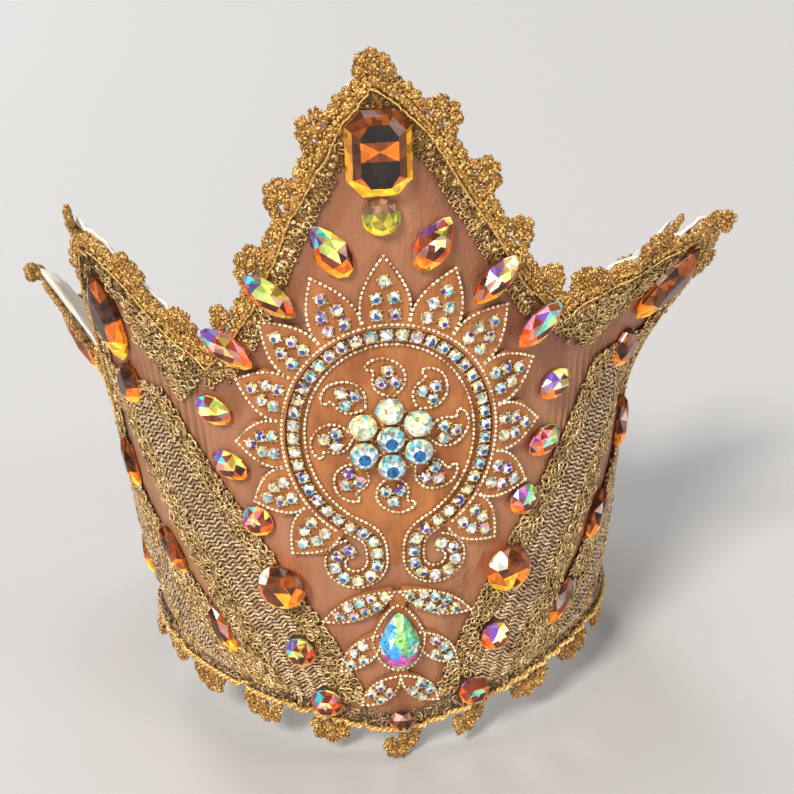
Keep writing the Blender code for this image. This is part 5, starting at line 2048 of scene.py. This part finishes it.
def string_lines():
    """The two bead lines along the ring and the scrolls, with their lifts."""
    lines = []
    half = scroll_path()
    for side in (-1.0, 1.0):
        ring = mirrored(half[:LINE_SPLIT + 1], side)
        rest = mirrored(half[LINE_SPLIT:], side)
        lines += [(beside(ring, side * offset), lift) for offset, lift in RING_LINES]
        lines += [(beside(rest, side * offset), LINE_LIFT) for offset in SCROLL_LINES]
    return lines


def trefoil_place(item, aside, out):
    """A flat place near a trefoil: aside and out from its middle, seen from the sun's middle."""
    angle = math.tau * item / TREFOILS
    x = TREFOIL_RING[0] * math.sin(angle)
    y = TREFOIL_RING[1] * math.cos(angle)
    return (x + aside * math.cos(angle) + out * math.sin(angle),
            y - aside * math.sin(angle) + out * math.cos(angle))


def rounded(points, steps):
    """A smooth open line through flat points."""
    line = []
    ends = [points[0]] + list(points) + [points[-1]]
    for a, b, c, d in zip(ends, ends[1:], ends[2:], ends[3:]):
        for step in range(steps):
            t = step / steps
            line.append(tuple(
                0.5 * (2.0 * q + (r - p) * t + (2.0 * p - 5.0 * q + 4.0 * r - s) * t * t
                       + (3.0 * q - p - 3.0 * r + s) * t ** 3)
                for p, q, r, s in zip(a, b, c, d)))
    line.append(tuple(points[-1]))
    return line


def trefoil_lines():
    """A line of beads round each trefoil, with its tip curled to one side."""
    lines = []
    for item in range(TREFOILS):
        points = [trefoil_place(item, aside, out) for aside, out in TREFOIL_OUTLINE]
        lines.append((rounded(points, 4), LINE_LIFT))
    return lines


def ray_lines():
    """A bead line up each flank of every ray."""
    lines = []
    for angle, step, gain in ray_places():
        tip = Vector(ray_point(angle, RAY_LENGTH * gain - RAY_TIP_GAP))
        for aside in (-1.0, 1.0):
            base = Vector(ray_point(angle + aside * RAY_FOOT * step, 0.0))
            flank = Vector(ray_point(angle + aside * RAY_WAIST * step, RAY_FLANK * gain))
            lines.append((curve_through(base, flank, tip, CURVE_STEPS), RAY_LIFT))
    return lines


def leaf_lines():
    """A bead line along both sides of every leaf."""
    lines = []
    for *ends, half_width in LEAVES:
        base, tip = leaf_ends(*ends)
        way = tip - base
        out = square_to(way) * half_width
        for side in (-1.0, 1.0):
            for aside in (-1.0, 1.0):
                middle = base + way * 0.5 + out * (LEAF_BULGE * aside)
                bend = mirrored(curve_through(base, middle, tip, CURVE_STEPS), side)
                lines.append((bend, LEAF_LIFT))
    return lines


def pear_line():
    """The frame of beads round the pear stone, narrower above."""
    half_width, half_height = PEAR_FRAME
    points = []
    for step in range(PEAR_FRAME_STEPS + 1):
        angle = math.tau * step / PEAR_FRAME_STEPS
        narrow = 1.0 - PEAR_NARROWING * max(math.sin(angle), 0.0) ** 1.2
        points.append((half_width * math.cos(angle) * narrow,
                       PEAR_HEIGHT - MOTIF_HEIGHT + half_height * math.sin(angle)))
    return points, LEAF_LIFT


def build_beads():
    """Every line of seed beads on the front panel."""
    chance = random.Random(71)
    places = []
    tones = []
    lines = string_lines() + trefoil_lines() + ray_lines() + leaf_lines() + [pear_line()]
    for points, lift in lines:
        for x, y, turn in even_line(points, SEED_PITCH):
            lean = turn + chance.uniform(-0.22, 0.22)
            long, wide, high = SEED_BEAD
            long *= chance.uniform(0.72, 1.12)
            wide *= chance.uniform(0.85, 1.12)
            places.append(front_place(x, y, lift, lean, (long, wide, high)))
            tones.append(chance.uniform(0.55, 1.0) if chance.random() < 0.85 else 0.25)
    beads = joined_copies("seed_beads", grain_shape(7, 5), places, [BEADS], tones)


# Ground of the sun motif

def build_ring_ground():
    """The amber satin inside the ring, with a dip of it between the scrolls."""
    columns, rows = MOTIF_GROUND
    patch = bmesh.new()
    bmesh.ops.create_grid(patch, x_segments=columns, y_segments=rows, size=0.5)
    for vert in patch.verts:
        angle = 360.0 * (round((vert.co.x + 0.5) * columns) % columns) / columns
        share = vert.co.y + 0.5
        x, y = ring_point(angle, MOTIF_GROUND_REACH)
        from_foot = abs(angle - 180.0)
        if from_foot < RING_OPENING:
            y -= MOTIF_GROUND_DIP * (1.0 - from_foot / RING_OPENING)
        vert.co = on_front(x * share, MOTIF_HEIGHT + y * share, MOTIF_GROUND_LIFT)[0]
    bmesh.ops.remove_doubles(patch, verts=patch.verts, dist=MERGE_DISTANCE)
    face_out(patch)
    ground = finish_mesh("motif_ground", patch, [APPLIQUE])


def build_scroll_ground(label, side):
    """A strip of amber satin under one scroll."""
    path = mirrored(scroll_path()[SCROLL_GROUND_START:], side)
    line = even_line(path, SCROLL_GROUND_PITCH)
    steps = len(line) - 1
    strip = bmesh.new()
    bmesh.ops.create_grid(strip, x_segments=steps, y_segments=SCROLL_GROUND_ROWS, size=0.5)
    for vert in strip.verts:
        x, y, turn = line[round((vert.co.x + 0.5) * steps)]
        offset = SCROLL_GROUND_WIDTH * vert.co.y
        across = x - offset * math.sin(turn)
        height = MOTIF_HEIGHT + y + offset * math.cos(turn)
        vert.co = on_front(across, height, SCROLL_GROUND_LIFT)[0]
    face_out(strip)
    scroll = finish_mesh(f"scroll_ground_{label}", strip, [APPLIQUE])


def build_motif_ground():
    build_ring_ground()
    for label, side in SIDES:
        build_scroll_ground(label, side)


def dress_backings():
    """Amber satin on the solids that carry the rays and the leaves."""
    for node in ("sun_rays", "leaf_sprays"):
        for slot in frame["nodes"][node].material_slots:
            slot.material = APPLIQUE


# Studio

def build_camera():
    """The camera at the photograph's viewing angle, aimed at the crown's axis."""
    settings = bpy.data.cameras.new("camera")
    settings.sensor_width = CAMERA_SENSOR
    settings.lens = CAMERA_LENS
    settings.shift_x, settings.shift_y = CAMERA_SHIFT
    camera = put_in_scene("camera", settings)
    elevation = CAMERA_ELEVATION * DEGREE
    yaw = CAMERA_YAW * DEGREE
    level = CAMERA_DISTANCE * math.cos(elevation)
    place = Vector((-level * math.sin(yaw), AXIS_Y - level * math.cos(yaw),
                    CAMERA_AIM + CAMERA_DISTANCE * math.sin(elevation)))
    aim = Vector((0.0, AXIS_Y, CAMERA_AIM)) - place
    turned = aim.to_track_quat("-Z", "Y").to_matrix().to_4x4()
    roll = Matrix.Rotation(CAMERA_ROLL * DEGREE, 4, "Z")
    camera.matrix_world = Matrix.Translation(place) @ turned @ roll
    bpy.context.scene.camera = camera


def build_light(name, way, spread, power, colour):
    """Even light from one side, as soft as its spread in degrees, over crown and floor alike."""
    settings = bpy.data.lights.new(name, "SUN")
    settings.energy = power
    settings.angle = spread * DEGREE
    settings.color = colour
    light = put_in_scene(name, settings)
    light.matrix_world = Vector(way).to_track_quat("Z", "Y").to_matrix().to_4x4()


def build_floor():
    shape = bmesh.new()
    bmesh.ops.create_grid(shape, x_segments=1, y_segments=1, size=FLOOR_HALF)
    bmesh.ops.translate(shape, verts=shape.verts, vec=(0.0, 0.0, -FLOOR_DROP))
    mesh = bpy.data.meshes.new("floor")
    shape.to_mesh(mesh)
    shape.free()
    material, nodes, links, shader = new_material("pale_floor", FLOOR_ROUGHNESS)
    set_inputs(shader, {"Base Color": FLOOR_COLOUR})
    mesh.materials.append(material)
    floor = put_in_scene("floor", mesh)


def build_studio():
    """A pale floor, a plain pale world and soft lights."""
    build_floor()
    world = bpy.data.worlds.new("studio")
    world.use_nodes = True
    background = world.node_tree.nodes["Background"]
    set_inputs(background, {"Color": WORLD_COLOUR, "Strength": WORLD_STRENGTH})
    bpy.context.scene.world = world
    bpy.context.scene.view_settings.view_transform = "Standard"
    for name, way, spread, power, colour in LIGHTS:
        build_light(name, way, spread, power, colour)


build_edge_picots()
build_edge_braid()
build_edge_cord()
build_rim_lace()
build_rim_cord()
build_bands()
build_petal_lace()
build_main_stones()
build_stone_string()
build_small_stones()
build_cluster()
build_beads()
build_motif_ground()
build_lining_edge()
build_wall(satin_sheet)
dress_backings()
build_camera()
build_studio()
